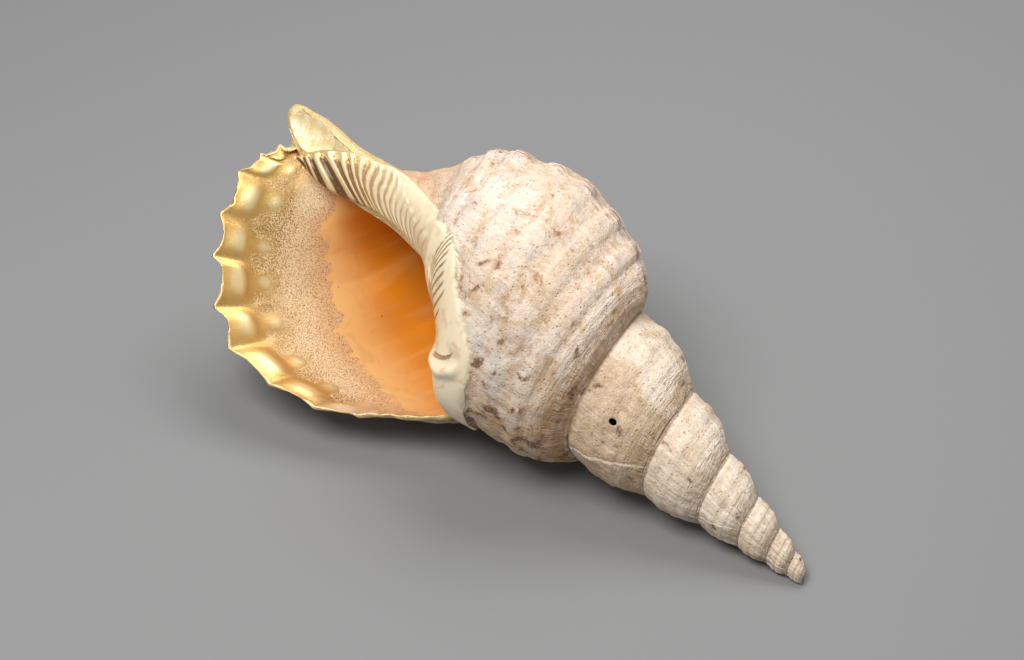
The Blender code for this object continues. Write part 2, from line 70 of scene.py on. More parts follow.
# where the swell of the body takes over from that of the spire, and how much flatter the lip is
BODY_FROM = 2.6 * math.pi
BODY_BLEND = 0.6
LIP_FLATTER = 0.28
LIP_FLATTER_SPAN = 1.3
SWELL_AT = [0.0, 0.05, 0.14, 0.25, 0.40, 0.60, 0.80, 0.93, 1.0]
BODY_SWELL = [0.0, 0.052, 0.115, 0.145, 0.153, 0.120, 0.075, 0.030, 0.0]
SPIRE_SWELL = [0.0, 0.022, 0.050, 0.082, 0.112, 0.110, 0.085, 0.045, 0.0]
BASE_H = [1.3705, 1.410, 1.475, 1.540, 1.605, 1.6377, 1.670, 1.7028, 1.735, 1.768, 1.800]
BASE_Q = [0.4266, 0.4262, 0.4046, 0.3758, 0.3536, 0.3254, 0.2934, 0.2272, 0.1611, 0.118, 0.0857]
NECK_AT = [0.0, 90.0, 180.0, 270.0, 360.0]
NECK_Q = [
    [18.5, 20.0, 22.0, 22.0, 18.0],
    [16.5, 13.0, 11.0, 9.5, 6.0],
    [15.8, 9.5, 6.5, 6.3, 3.0],
    [14.6, 12.0, 11.0, 9.0, 5.0],
    [13.5, 12.4, 17.0, 20.0, 12.0],
]
NECK_SHARE = 0.079
NECK_BLEND = 1.1
# the neck leans to the back: how far, from which height, over which height, and its radius
NECK_LEAN = 11.0
NECK_LEAN_FROM = 335.0
NECK_LEAN_SPAN = 69.0
NECK_RADIUS = 34.0
# flatter place on the wall that the aperture rests on, and the angles where it comes and goes
DIP = 17.0
DIP_AT = 1.47
DIP_HALF = 0.27
DIP_COMES = (250.0, 75.0)
DIP_GOES = (460.0, 90.0)

# wall and hollow
WALL = 4.2
LIP_WALL = 2.6
INNER_COAT = 1.3
HOLLOW_START = -0.26
HOLLOW_END = 15.6
LIP_WALL_SPAN = 0.6
LEAST_GAP = 1.2
SHUT_GAP = 1.8

# lip
FLARE_SPAN = 0.85
FLARE_POWER = 2.2
TOOTH_SPAN = 0.16
EDGE_ROUND = 1.1
EDGE_ROUND_SPAN = 0.016
LIP_LINE = [
    (0.00, 215.86, 60.6), (0.14, 225.9, 73.6), (0.25, 237.9, 84.1), (0.40, 251.9, 95.1),
    (0.60, 270.5, 109.5), (0.80, 289.5, 116.5), (1.00, 307.5, 120.0), (1.10, 320.0, 121.5),
    (1.20, 337.0, 120.5), (1.30, 353.5, 113.5), (1.40, 367.5, 103.0), (1.50, 378.5, 92.5),
    (1.60, 388.0, 83.0), (1.70, 396.0, 69.5), (1.80, 402.0, 57.0), (1.90, 404.5, 45.0),
    (2.00, 404.0, 36.0), (2.50, 401.0, 26.5), (3.00, 395.0, 17.0),
]
# teeth along the lip and how far each stands out, and how far the edge between them bulges
TEETH = [0.12, 0.20, 0.28, 0.37, 0.47, 0.70, 1.00, 1.20, 1.338, 1.52, 1.68, 1.865, 2.06, 2.60]
REACH = [0.4, 0.6, 0.8, 1.0, 1.5, 1.6, 2.0, 3.4, 5.6, 5.6, 4.8, 4.6, 4.0, 4.5]
TOOTH_HALF = [0.040] * 5 + [0.055] * 7 + [0.10, 0.16]
BULGE_AT = [0.0, 0.30, 0.47, 0.70, 1.00, 1.20, 1.30, 1.75, 1.90, 2.10, 3.00]
BULGE = [0.0, 0.0, 0.5, 1.0, 2.2, 2.2, 0.8, 0.6, 1.5, 1.5, 0.5]

# spiral cords: place along the outline, half width in that measure, height
CORDS = [
    (0.26, 0.085, 0.9), (0.44, 0.080, 1.2), (0.70, 0.100, 1.3), (0.985, 0.100, 1.3),
    (1.20, 0.065, 1.3), (1.36, 0.060, 1.3), (1.53, 0.055, 1.2), (1.67, 0.050, 1.1),
    (1.82, 0.045, 0.9), (1.95, 0.040, 0.7),
]
# height of a full cord, and the height from which the cords are counted
CORD_FULL = 1.3
CORD_DATUM = 1.7
# rounded step below the suture: place, half width, height
SHOULDER = (0.105, 0.045, 0.9)
CALLUS = 1.2
CALLUS_FADE = 8.0
RIDGE = 7.0
RIDGE_AT = (340.0, 1.07)
RIDGE_HALF = (24.0, 0.20)
CALLUS_AT = [0.0, 0.83, 0.85, 0.87, 0.92, 1.09, 1.26, 1.35, 1.62, 2.0]
CALLUS_ANGLE = [400.0, 400.0, 330.0, 311.0, 297.5, 287.5, 276.0, 264.0, 260.0, 260.0]
# former lips: angle at the suture, slant in degrees across the whorl, height
VARICES = [(206.0, 0.0, 4.0), (445.0, 10.0, 2.2), (665.0, 32.0, 1.1), (1376.0, 30.0, 0.6)]
VARIX_BEHIND = 30.0
VARIX_AHEAD = 16.0
VARIX_EDGE = 2.5
NO_VARIX = 60.0

# columella band: far edge (h, x, y) and aperture edge (h, x, y), from the canal upwards
BAND = [
    ((387.0, 21.5, -1.0), (386.0, 22.3, -0.5)),
    ((384.0, 17.4, -3.5), (371.6, 23.2, -1.5)),
    ((380.5, 13.5, -6.0), (360.0, 22.4, -3.5)),
    ((375.0, 8.0, -8.5), (344.5, 17.4, -5.5)),
    ((366.0, 1.6, -10.0), (326.0, 12.8, -6.5)),
    ((359.6, -2.4, -11.0), (314.3, 11.6, -7.5)),
    ((345.0, -7.3, -12.5), (302.6, 12.0, -8.5)),
    ((335.8, -10.8, -13.5), (291.9, 14.3, -12.0)),
    ((325.0, -12.0, -15.0), (284.0, 17.0, -20.0)),
    ((313.0, -11.4, -19.0), (278.0, 18.5, -30.0)),
    ((299.0, -9.5, -28.0), (272.0, 20.5, -38.0)),
    ((289.0, -8.0, -36.0), (269.0, 22.0, -36.0)),
]
BAND_CROWN = 3.2
BAND_DEPTH = 9.0
# where each ridge of the band meets the far edge and the aperture edge, in stations of BAND
RIDGE_FAR = [
    0.33, 1.17, 2.13, 3.08, 3.85, 4.5, 5.3, 5.7, 6.0, 6.5, 6.9, 7.3, 7.9, 8.4, 8.9, 9.4,
    9.8, 10.2, 10.6, 11.0,
]
RIDGE_NEAR = [
    0.72, 1.2, 2.25, 3.07, 3.32, 3.53, 3.76, 3.90, 4.1, 4.5, 5.0, 5.25, 5.5, 5.8, 6.1, 6.5,
    6.9, 7.4, 8.2, 9.4,
]
RIDGE_RISE = 1.9

HOLE_AT = (147.4, 9.4, -37.0)
HOLE_RADIUS = 2.2
FOLD_AT = (392.5, 6.5, -2.0)
FOLD_ALONG = (-0.127, -0.33, 0.936)
FOLD_SIDE = (-0.75, -0.10, -0.65)
FOLD_HALF = (21.0, 11.0, 8.0)
# tooth on the inner wall of the mouth: place on the callus, slope in degrees, half width, height
PARIETAL_AT = (313.1, 0.962)
PARIETAL_SLOPE = 60.0
PARIETAL_HALF = 3.6
PARIETAL_RISE = 3.0
# short cuts in the callus: place across them, and the angle where each starts
SLIT_SLOPE = 0.0035
SLIT_DEGREES = 290.0
SLITS = [1.197, 1.237, 1.28, 1.32, 1.352, 1.388, 1.41, 1.43, 1.45, 1.475]
SLIT_START = [318.0, 304.0, 290.0, 287.0, 282.0, 278.0, 272.0, 267.0, 265.0, 263.0]
# how much wider the mouth is than the suture, to turn an angle into a length
MOUTH_EXTRA = 42.0
# where the gold ends and where the sprayed specks end inside the lip: place and angle
GILT_AT = [0.3, 0.58, 0.72, 0.94, 1.14, 1.27, 1.39, 1.62, 1.77, 1.89, 2.2]
GILT_END = [0.30, 0.27, 0.24, 0.21, 0.20, 0.21, 0.23, 0.27, 0.31, 0.35, 0.36]
SPRAY_AT = [0.4, 0.61, 0.79, 0.97, 1.13, 1.21, 1.33, 1.55, 1.66, 1.72, 1.76, 1.9]
SPRAY_END = [0.30, 0.37, 0.425, 0.46, 0.477, 0.503, 0.546, 0.613, 0.577, 0.53, 0.60, 0.75]

# rounded end of the canal: how far it bulges, and how far out its rings lie
END_DOME = 5.0
END_SHARES = [0.93, 0.8, 0.62, 0.42, 0.2]

# how the shell lies
UP = (-0.5420, -0.7660, -0.3456)
MOVED = (-0.20758, -0.01038, -0.00638)

# mesh
COLUMNS = 420
UPPER_ROWS = 54
BASE_ROWS = 92
NECK_ROWS = 36
TRIANGLES = 194000
HOLLOW_OUTER = 150
HOLLOW_INNER = 60
BAND_ROWS = 420
BAND_COLUMNS = 40
# where the end of the canal is in coil measure
CANAL_END = (TURN / 2.0, 3.0)

# roughness of the outside in millimetres: height, size and seed of each set of lumps
LUMPS = [(0.45, 15.0, 1), (0.25, 6.0, 2), (0.14, 2.8, 3)]
# wrinkles in coil measure: height, number along and across, seed
WRINKLES = [(0.22, 22.0, 2.0, 5), (0.35, 7.0, 1.2, 6)]
PIT_SIZE = 4.5
PIT_SEED = 4
HASH_FACTORS = (73856093, 19349663, 83492791)
HASH_SEED = 2654435761
HASH_MIX = 1274126177
HASH_MASK = 0xFFFF

# regions of the finished mesh
OUTSIDE, INSIDE, COAT, BANDED, FOLDED, DRILLED = range(6)
FINISH_NAMES = ("chalk", "glaze", "coat", "ridged", "gilt", "drilled")
FINISHES = [bpy.data.materials.new(name) for name in FINISH_NAMES]


def ease(x):
    t = np.clip(x, 0.0, 1.0)
    return t * t * (3.0 - 2.0 * t)


def bump_at(x, middle, half):
    return np.exp(-((x - middle) / half) ** 2)


def logistic(x):
    return 1.0 / (1.0 + np.exp(-np.clip(x, -50.0, 50.0)))


def through(xs, ys, x):
    """Smooth curve through the points, without overshoot between them."""
    xs = np.asarray(xs, float)
    ys = np.asarray(ys, float)
    gap = np.diff(xs)
    slope = np.diff(ys) / gap
    turn = np.zeros_like(ys)
    turn[0] = slope[0]
    turn[-1] = slope[-1]
    same = slope[:-1] * slope[1:] > 0.0
    w1 = 2.0 * gap[1:] + gap[:-1]
    w2 = gap[1:] + 2.0 * gap[:-1]
    safe0 = np.where(same, slope[:-1], 1.0)
    safe1 = np.where(same, slope[1:], 1.0)
    turn[1:-1] = np.where(same, (w1 + w2) / (w1 / safe0 + w2 / safe1), 0.0)
    x = np.clip(x, xs[0], xs[-1])
    k = np.clip(np.searchsorted(xs, x, side="right") - 1, 0, len(xs) - 2)
    t = (x - xs[k]) / gap[k]
    a = ys[k] * (1.0 + 2.0 * t) * (1.0 - t) ** 2
    b = turn[k] * gap[k] * t * (1.0 - t) ** 2
    c = ys[k + 1] * t * t * (3.0 - 2.0 * t)
    d = turn[k + 1] * gap[k] * t * t * (t - 1.0)
    return a + b + c + d


def value_noise(points, size, seed=0):
    """Smooth noise from -1 to 1 at the points, with lumps of the given size."""
    p = np.asarray(points, float) / size
    cell = np.floor(p).astype(np.int64)
    f = p - cell
    f = f * f * (3.0 - 2.0 * f)
    total = np.zeros(len(p))
    for corner in range(8):
        step = np.array([corner & 1, (corner >> 1) & 1, (corner >> 2) & 1])
        at = cell + step
        key = np.bitwise_xor.reduce(at * HASH_FACTORS, axis=1) ^ (seed * HASH_SEED)
        key = (key ^ (key >> 13)) * HASH_MIX
        key = (key ^ (key >> 16)) & HASH_MASK
        share = np.prod(np.where(step == 1, f, 1.0 - f), axis=1)
        total += share * (key / (HASH_MASK / 2.0) - 1.0)
    return total


def suture(u):
    """Height and radius of the suture; u is minus the angle behind the lip."""
    h = LIP_HEIGHT * np.exp(GROWTH * u)
    lift = logistic((u + RATIO_SHIFT) / RATIO_SPAN)
    return h, (SPIRE_RATIO + BODY_RATIO_GAIN * lift) * through(SLIM_AT, SLIM, h) * h


def upper_profile(u, v):
    """The part of a whorl from its own suture down to the next one."""
    h0, q0 = suture(u)
    h1, q1 = suture(u + TURN)
    body = logistic((u + BODY_FROM) / BODY_BLEND)
    body = body * (1.0 - LIP_FLATTER * ease(1.0 + u / LIP_FLATTER_SPAN))
    swell = body * through(SWELL_AT, BODY_SWELL, v)
    swell = swell + (1.0 - body) * through(SWELL_AT, SPIRE_SWELL, v)
    run = h1 - h0
    rise = q1 - q0
    return h0 + run * v - rise * swell, q0 + rise * v + run * swell


def base_profile(u, w):
    """The part of a whorl from the next suture line down to the neck."""
    h0, _ = suture(u)
    h1, q1 = suture(u + TURN)
    at = np.linspace(0.0, 1.0, len(BASE_H))
    share = q1 / h0 / BASE_Q[0]
    lift = h1 / h0 / BASE_H[0]
    return through(at, BASE_H, w) * h0 * lift, through(at, BASE_Q, w) * h0 * share


def neck_profile(u, t):
    """The neck below the base, down to the end of the canal."""
    h0, _ = base_profile(u, 1.0)
    h = h0 + (TIP_HEIGHT - h0) * t
    rows = len(NECK_Q[0])
    at = np.linspace(0.0, 1.0, rows)
    degrees = np.clip(np.degrees(-u), 0.0, 360.0)
    widths = [through(NECK_AT, [line[k] for line in NECK_Q], degrees) for k in range(rows)]
    q = through(at, np.array(widths), t)
    if u < -TURN:
        own = NECK_SHARE * suture(u)[0]
        q = q + (own - q) * ease((-u - TURN) / NECK_BLEND)
    return h, q


def plain_profile(u, c):
    """Whole outline of a whorl at u without the flare."""
    h = np.empty_like(c)
    q = np.empty_like(c)
    top = c <= 1.0
    mid = (c > 1.0) & (c <= 2.0)
    low = c > 2.0
    h[top], q[top] = upper_profile(u, c[top])
    h[mid], q[mid] = base_profile(u, c[mid] - 1.0)
    h[low], q[low] = neck_profile(u, c[low] - 2.0)
    return h, q


def parietal_dip(u, c):
    """The wall that the aperture rests on is flatter than the rest of the whorl."""
    a = np.degrees(-u)
    near = ease((a - DIP_COMES[0]) / DIP_COMES[1])
    near = near * ease((DIP_GOES[0] - a) / DIP_GOES[1])
    return DIP * near * bump_at(c, DIP_AT, DIP_HALF)


def flare_amount(a):
    return np.clip(1.0 - a / FLARE_SPAN, 0.0, 1.4) ** FLARE_POWER


def whorl_outline(u, c):
    """Outline of a whorl at u with the flare of the lip."""
    h, q = plain_profile(u, c)
    q = q - parietal_dip(u, c)
    amount = flare_amount(-u)
    if amount > 0.0:
        c_line = [p[0] for p in LIP_LINE]
        lip_h = through(c_line, [p[1] for p in LIP_LINE], c)
        lip_q = through(c_line, [p[2] for p in LIP_LINE], c)
        plain_h, plain_q = plain_profile(0.0, c)
        h = h + (lip_h - plain_h) * amount
        q = q + (lip_q - plain_q) * amount
    return h, q


def cord_height(c):
    total = np.zeros_like(c)
    for place, half, height in CORDS:
        x = np.clip(np.abs(c - place) / half, 0.0, 1.0)
        total = total + height * (1.0 - x ** 4) ** 2
    return total


def varix_height(u, c):
    """Height of the former lips: a long rise, a steep edge and a row of knobs ahead of it."""
    a = math.degrees(-u)
    total = np.zeros_like(c)
    knob = cord_height(c) / CORD_FULL
    for place, slant, height in VARICES:
        behind = a - place - slant * np.clip(c, 0.0, 1.0)
        rise = np.clip(1.0 - behind / VARIX_BEHIND, 0.0, 1.0) ** 2 * (0.75 + 0.25 * knob)
        ahead = np.clip(-behind, 0.0, VARIX_AHEAD)
        fall = 0.75 * np.clip(1.0 - ahead / VARIX_EDGE, 0.0, 1.0)
        pad = 0.55 * knob * np.sin(math.pi * ahead / VARIX_AHEAD)
        total = total + height * np.where(behind >= 0.0, rise, fall + pad)
    return total


def callus_edge(c):
    """Angle behind the lip, in degrees, where the callus ends."""
    return through(CALLUS_AT, CALLUS_ANGLE, c)


def relief(u, c):
    """Height of the cords, ridges and old lips above the plain outline."""
    size = suture(u)[0] / LIP_HEIGHT
    spire = ease((-u - TURN) / 1.5)
    edge = ease(c / 0.10)
    if u < -TURN:
        edge = edge * ease((1.0 - c) / 0.06)
    fade = 1.0 - ease((c - 2.0) / 0.25)
    scale = 0.35 + 0.65 * size
    cords = cord_height(c) * (1.0 - 0.45 * spire) * scale
    shoulder = SHOULDER[2] * bump_at(c, SHOULDER[0], SHOULDER[1]) * size
    a = np.degrees(-u)
    own = 1.0 if u > -TURN - 0.01 else 0.0
    bare = 1.0 - ease((a - callus_edge(c)) / CALLUS_FADE) * own
    cords = (cords - (CORD_DATUM - 0.3 * spire) * scale) * bare
    callus = CALLUS * (1.0 - bare)
    ridge = RIDGE * bump_at(a, RIDGE_AT[0], RIDGE_HALF[0])
    callus = callus + ridge * bump_at(c, RIDGE_AT[1], RIDGE_HALF[1])
    off = a - PARIETAL_AT[0] - PARIETAL_SLOPE * (c - PARIETAL_AT[1])
    rise = ease((c - 0.93) / 0.06) * ease((1.30 - c) / 0.12)
    callus = callus + PARIETAL_RISE * bump_at(off, 0.0, PARIETAL_HALF) * rise
    seam = bump_at(c, 0.0, SEAM_HALF)
    if u < -TURN:
        seam = seam + bump_at(c, 1.0, SEAM_HALF)
    raised = (cords + shoulder * bare + varix_height(u, c) + callus) * edge * fade
    return raised - SEAM * (0.4 + 0.6 * size) * seam


def pushed_out(h, q, amount):
    """Move the outline along its own outward normal."""
    dh = np.gradient(h)
    dq = np.gradient(q)
    size = np.hypot(dh, dq) + 1e-9
    return h - dq / size * amount, q + dh / size * amount


def tooth_push(a, c, sharp=1.6):
    """Teeth along the edge of the lip."""
    total = np.zeros_like(c)
    if a < TOOTH_SPAN:
        for place, reach, half in zip(TEETH, REACH, TOOTH_HALF):
            x = np.clip(np.abs(c - place) / half, 0.0, 1.0)
            total = np.maximum(total, reach * (1.0 - x) ** sharp)
        total = total + through(BULGE_AT, BULGE, c)
    return total * (1.0 - np.clip(a / TOOTH_SPAN, 0.0, 1.0)) ** 1.3


def round_edge(a):
    """How far the edge of the lip is rounded off."""
    left = 1.0 - min(1.0, a / EDGE_ROUND_SPAN)
    return EDGE_ROUND * (1.0 - math.sqrt(max(0.0, 1.0 - left ** 2)))


def bend(x, y, h):
    """The end of the neck leans to the back of the shell."""
    lean = NECK_LEAN * np.clip((h - NECK_LEAN_FROM) / NECK_LEAN_SPAN, 0.0, 1.2) ** 1.6
    near = np.exp(-(np.hypot(x, y) / NECK_RADIUS) ** 4)
    return x + through(LEAN_AT, LEAN, h), y + lean * near, h


def space_point(h, q, a):
    x, y, h = bend(q * np.cos(a), q * np.sin(a), h)
    return np.stack([x, y, -h], axis=-1)


def shell_skin():
    """Outer skin as one closed mesh: points, faces, and a and c of each corner and point."""
    du = TURN / COLUMNS
    first = math.log(APEX_HEIGHT / LIP_HEIGHT) / GROWTH - TURN
    count = int(round(-first / du))
    upper = np.linspace(0.0, 1.0, UPPER_ROWS + 1)
    lower = 1.0 + np.linspace(0.0, 1.0, BASE_ROWS + 1)[1:]
    neck = 2.0 + np.linspace(0.0, 1.0, NECK_ROWS + 1)[1:]
    rows = joined([upper, lower, neck])
    points = []
    where = []
    ids = -np.ones((count + 1, len(rows)), dtype=np.int64)
    total = 0
    for i in range(count + 1):
        u = (i - count) * du
        c = rows if i >= count - COLUMNS else upper
        h, q = whorl_outline(u, c)
        h, q = pushed_out(h, q, relief(u, c) + tooth_push(-u, c) - round_edge(-u))
        p = space_point(h, q, -u)
        keep = np.ones(len(c), dtype=bool)
        if i + COLUMNS <= count:
            keep[UPPER_ROWS] = False
        ids[i, :len(c)][keep] = total + np.arange(keep.sum())
        total += keep.sum()
        points.append(p[keep])
        where.append(np.stack([-u * np.ones(keep.sum()), c[keep]], axis=1))
    ids[:count - COLUMNS + 1, UPPER_ROWS] = ids[COLUMNS:, 0]
    points = joined(points)
    where = joined(where)
    faces = []
    coil = []
    for i in range(count):
        deep = len(rows) - 1 if i >= count - COLUMNS else UPPER_ROWS
        one = ids[i, :deep + 1]
        two = ids[i + 1, :deep + 1]
        faces.append(np.stack([one[:-1], one[1:], two[1:], two[:-1]], axis=1))
        near = np.full(deep, (count - i) * du)
        high = rows[:deep]
        low = rows[1:deep + 1]
        pairs = [(near, high), (near, low), (near - du, low), (near - du, high)]
        coil.append(np.stack([np.stack(pair, axis=1) for pair in pairs], axis=1))
    faces = joined(faces).tolist()
    coil = list(joined(coil))
    apex = list(ids[:COLUMNS + 1, 0]) + list(ids[0, UPPER_ROWS - 1:0:-1])
    last = len(rows) - 1
    ring = list(ids[count - COLUMNS:, last])
    middle = points[ring].mean(axis=0)
    for share in END_SHARES:
        inner = middle + (points[ring] - middle) * share
        inner[:, 2] -= END_DOME * math.sqrt(1.0 - share * share)
        new = list(range(len(points), len(points) + len(ring)))
        points = joined([points, inner])
        for k in range(len(ring)):
            n = (k + 1) % len(ring)
            faces.append([ring[n], ring[k], new[k], new[n]])
            coil.append(np.array([CANAL_END] * 4))
        ring = new
    extra = np.array([[0.0, 0.0, -APEX_HEIGHT + 0.6], middle + np.array([0.0, 0.0, -END_DOME])])
    top = len(points)
    low = top + 1
    points = joined([points, extra])
    more = len(points) - len(where)
    where = joined([where, [CANAL_END] * more])
    faces += [[apex[k], apex[(k + 1) % len(apex)], top] for k in range(len(apex))]
    coil += [np.array([[-first, 0.0]] * 3)] * len(apex)
    faces += [[ring[(k + 1) % len(ring)], ring[k], low] for k in range(len(ring))]
    coil += [np.array([CANAL_END] * 3)] * len(ring)
    start = count - COLUMNS
    mouth = list(ids[count, :last + 1]) + list(ids[start, last:UPPER_ROWS:-1])
    faces.append(mouth)
    coil.append(np.array([[0.0, 1.0]] * len(mouth)))
    return points, faces, joined(coil), where


def pads(a, c):
    """Three rows of pads behind the lip's edge, 1 at the top of each, and how near a tooth is."""
    place = np.array(TEETH)
    k = np.clip(np.searchsorted(place, c, side="right") - 1, 0, len(place) - 2)
    share = np.clip((c - place[k]) / (place[k + 1] - place[k]), 0.0, 1.0)
    wide = np.clip((place[k + 1] - place[k]) / 0.15, 0.0, 1.0) * (c > place[0]) * (c < place[-1])
    first = np.sin(math.pi * share) ** 0.8 * wide * bump_at(a, 0.062, 0.050)
    second = bump_at(share, 0.5, 0.25) * wide * bump_at(a, 0.20, 0.055)
    third = bump_at(share, 0.45, 0.16) * wide * bump_at(a, 0.40, 0.06)
    return first, second, third, np.minimum(share, 1.0 - share) * (place[k + 1] - place[k])


def inner_relief(a, c):
    """Pads behind the edge of the lip, thin lines between them, and the folds that run inwards."""
    first, second, third, between = pads(a, c)
    thin = bump_at(between, 0.0, 0.008) * ease((0.30 - a) / 0.15) * (c > 0.44)
    deep = ease((a - 0.45) / 0.5) * ease((3.2 - a) / 1.0)
    fold = np.cos(TURN * (c * 5.4 + 0.35 * a)) * 0.35 * deep
    edge = ease((a + 0.01) / 0.05)
    return (2.8 * first + 1.5 * second + 0.5 * third + 0.8 * thin) * edge + fold


def evenly(*parts):
    """Numbers in rows of even steps; each part is its first, its last and how many."""
    return joined([np.linspace(*part) for part in parts])


def even_points(h, q, c, number):
    step = np.hypot(np.diff(h), np.diff(q))
    along = joined([[0.0], np.cumsum(step)])
    at = np.linspace(0.0, along[-1], number)
    return np.interp(at, along, h), np.interp(at, along, q), np.interp(at, along, c)


def hollow_section(a):
    """Closed outline of the hollow at the angle a behind the lip."""
    u = -a
    c = evenly((0.02, 1.0, 160), (1.006, 2.0, 220), (2.02, 3.0, 80))
    wall = WALL + (LIP_WALL - WALL) * ease(1.0 - a / LIP_WALL_SPAN)
    wall = wall * min(1.0, (suture(u)[0] / LIP_HEIGHT) ** 0.6)
    h, q = whorl_outline(u, c)
    h, q = pushed_out(h, q, tooth_push(a, c, 2.2) - wall - inner_relief(a, c))
    d = evenly((0.86, 1.0, 24), (1.01, 2.0, 150), (2.03, 3.0, 60))
    g, r = whorl_outline(u - TURN, d)
    g, r = pushed_out(g, r, INNER_COAT * np.ones_like(d))
    inner = np.interp(h, g, r)
    free = q - inner
    first = np.nonzero(free > LEAST_GAP)[0][0]
    shut = np.nonzero((free < SHUT_GAP) & (np.arange(len(c)) > first + 120))[0]
    last = shut[0] if len(shut) else len(c) - 1
    outer = even_points(h[first:last], q[first:last], c[first:last], HOLLOW_OUTER)
    inside = (g > h[first]) & (g < h[last - 1])
    back = even_points(g[inside][::-1], r[inside][::-1], d[inside][::-1], HOLLOW_INNER)
    return outer, back


def loft_faces(rings):
    size = len(rings[0])
    one = np.array(rings[:-1])
    two = np.array(rings[1:])
    faces = np.stack([one, np.roll(one, -1, axis=1), np.roll(two, -1, axis=1), two], axis=2)
    faces = faces.reshape(-1, 4).tolist()
    faces.append(list(rings[0][::-1]))
    faces.append(list(rings[-1]))
    return faces, size


def hollow_tool():
    """The winding hollow as a closed tube, with the region and the coil place of each point."""
    angles = joined([
        np.linspace(HOLLOW_START, 0.0, 24)[:-1],
        np.linspace(0.0, 0.6, 90)[:-1],
        np.linspace(0.6, 3.2, 110)[:-1],
        np.linspace(3.2, HOLLOW_END, 110),
    ])
    points = []
    coil = []
    rings = []
    for n, a in enumerate(angles):
        outer, back = hollow_section(a)
        h, q, c = (joined(pair) for pair in zip(outer, back))
        points.append(space_point(h, q, a))
        angle = joined([a * np.ones(HOLLOW_OUTER), (a + TURN) * np.ones(HOLLOW_INNER)])
        coil.append(np.stack([angle, c], axis=1))
        rings.append(n * len(h) + np.arange(len(h)))
    faces, size = loft_faces(rings)
    region = np.array([INSIDE if k % size < HOLLOW_OUTER - 1 else COAT for k in range(len(faces))])
    coil = joined(coil)[joined(faces)]
    return joined(points), faces, coil, region


def ridge_phase(s, t):
    """Number of the ridge at station s, a share t of the way to the aperture edge."""
    numbers = np.arange(len(RIDGE_FAR), dtype=float)
    far = np.interp(s, RIDGE_FAR, numbers, left=-0.5, right=len(RIDGE_FAR) - 0.5)
    near = np.interp(s, RIDGE_NEAR, numbers, left=-0.8, right=len(RIDGE_NEAR) + 1.5)
    share = ease(t * 1.05) * 0.75 + 0.25 * t
    return far + (near - far) * share


def ridge_profile(phase):
    """Ridge at each whole number: narrow towards the canal, broad with a thin groove further up."""
    off = np.abs(phase - np.round(phase)) * 2.0
    broad = ease((phase - 4.0) / 9.0)
    return (1.0 - off ** (1.1 + 1.3 * broad)) ** (1.3 - 0.6 * broad)


def band_pad():
    """Strip of thickened shell along the columella, with its ridges."""
    at = np.arange(len(BAND), dtype=float)
    fine = np.linspace(0.0, len(BAND) - 1.0, BAND_ROWS)
    far = np.stack([through(at, [b[0][k] for b in BAND], fine) for k in range(3)], axis=1)
    near = np.stack([through(at, [b[1][k] for b in BAND], fine) for k in range(3)], axis=1)
    across = np.linspace(0.0, 1.0, BAND_COLUMNS)
    points = []
    coil = []
    rings = []
    for k in range(len(fine)):
        size = min(1.0, 0.25 + fine[k] / 2.0) * min(1.0, 0.2 + (len(BAND) - 1.0 - fine[k]) / 2.0)
        line = far[k] + (near[k] - far[k]) * across[:, None]
        crown = BAND_CROWN * size * np.sin(math.pi * across) ** 0.7
        phase = ridge_phase(fine[k], across)
        faded = ease((across - 0.5 * ease((fine[k] - 6.6) / 1.5)) / 0.25 + 0.3)
        rib = RIDGE_RISE * size * (ridge_profile(phase) - 0.5) * ease(across / 0.08) * faded
        crown = crown + rib * ease((1.0 - across) / 0.03)
        front = np.stack([line[:, 1], line[:, 2] - crown, -line[:, 0]], axis=1)
        back = front[1:-1][::-1] * 1.0
        back[:, 1] = line[1:-1, 2][::-1] + BAND_DEPTH * size
        ring = joined([front, back])
        points.append(ring)
        here = np.stack([phase, across], axis=1)
        coil.append(joined([here, here[1:-1][::-1]]))
        rings.append(k * len(ring) + np.arange(len(ring)))
    faces, _ = loft_faces(rings)
    return joined(points), faces, joined(coil)[joined(faces)]


def laid_down():
    """Matrix from the shell's own axes in millimetres to where it lies, in metres."""
    up = Vector(UP).normalized()
    along = Vector((0.0, 0.0, -1.0))
    along = (along - up * along.dot(up)).normalized()
    side = up.cross(along)
    turn = Matrix((along, side, up)).to_4x4()
    return Matrix.Translation(MOVED) @ turn @ Matrix.Diagonal((0.001, 0.001, 0.001, 1.0))


PLACE = laid_down()


def to_metres(points):
    m = np.array(PLACE)
    return points @ m[:3, :3].T + m[:3, 3]


def add_regions(mesh, region):
    for finish in FINISHES:
        mesh.materials.append(finish)
    values = np.broadcast_to(region, len(mesh.polygons)).astype(np.int32)
    mesh.polygons.foreach_set("material_index", values)


def added(name, data):
    """New object in the scene."""
    item = bpy.data.objects.new(name, data)
    bpy.context.scene.collection.objects.link(item)
    return item


def closed_mesh(name, points, faces, coil, region):
    """Closed mesh object in metres; region is one number or one for each face."""
    mesh = bpy.data.meshes.new(name)
    mesh.from_pydata(to_metres(points).tolist(), [], faces)
    layer = mesh.uv_layers.new(name="coil")
    layer.data.foreach_set("uv", coil.astype(np.float32).ravel())
    add_regions(mesh, region)
    work = bmesh.new()
    work.from_mesh(mesh)
    bmesh.ops.triangulate(work, faces=[f for f in work.faces if len(f.verts) > 4])
    bmesh.ops.recalc_face_normals(work, faces=work.faces)
    work.to_mesh(mesh)
    work.free()
    return added(name, mesh)


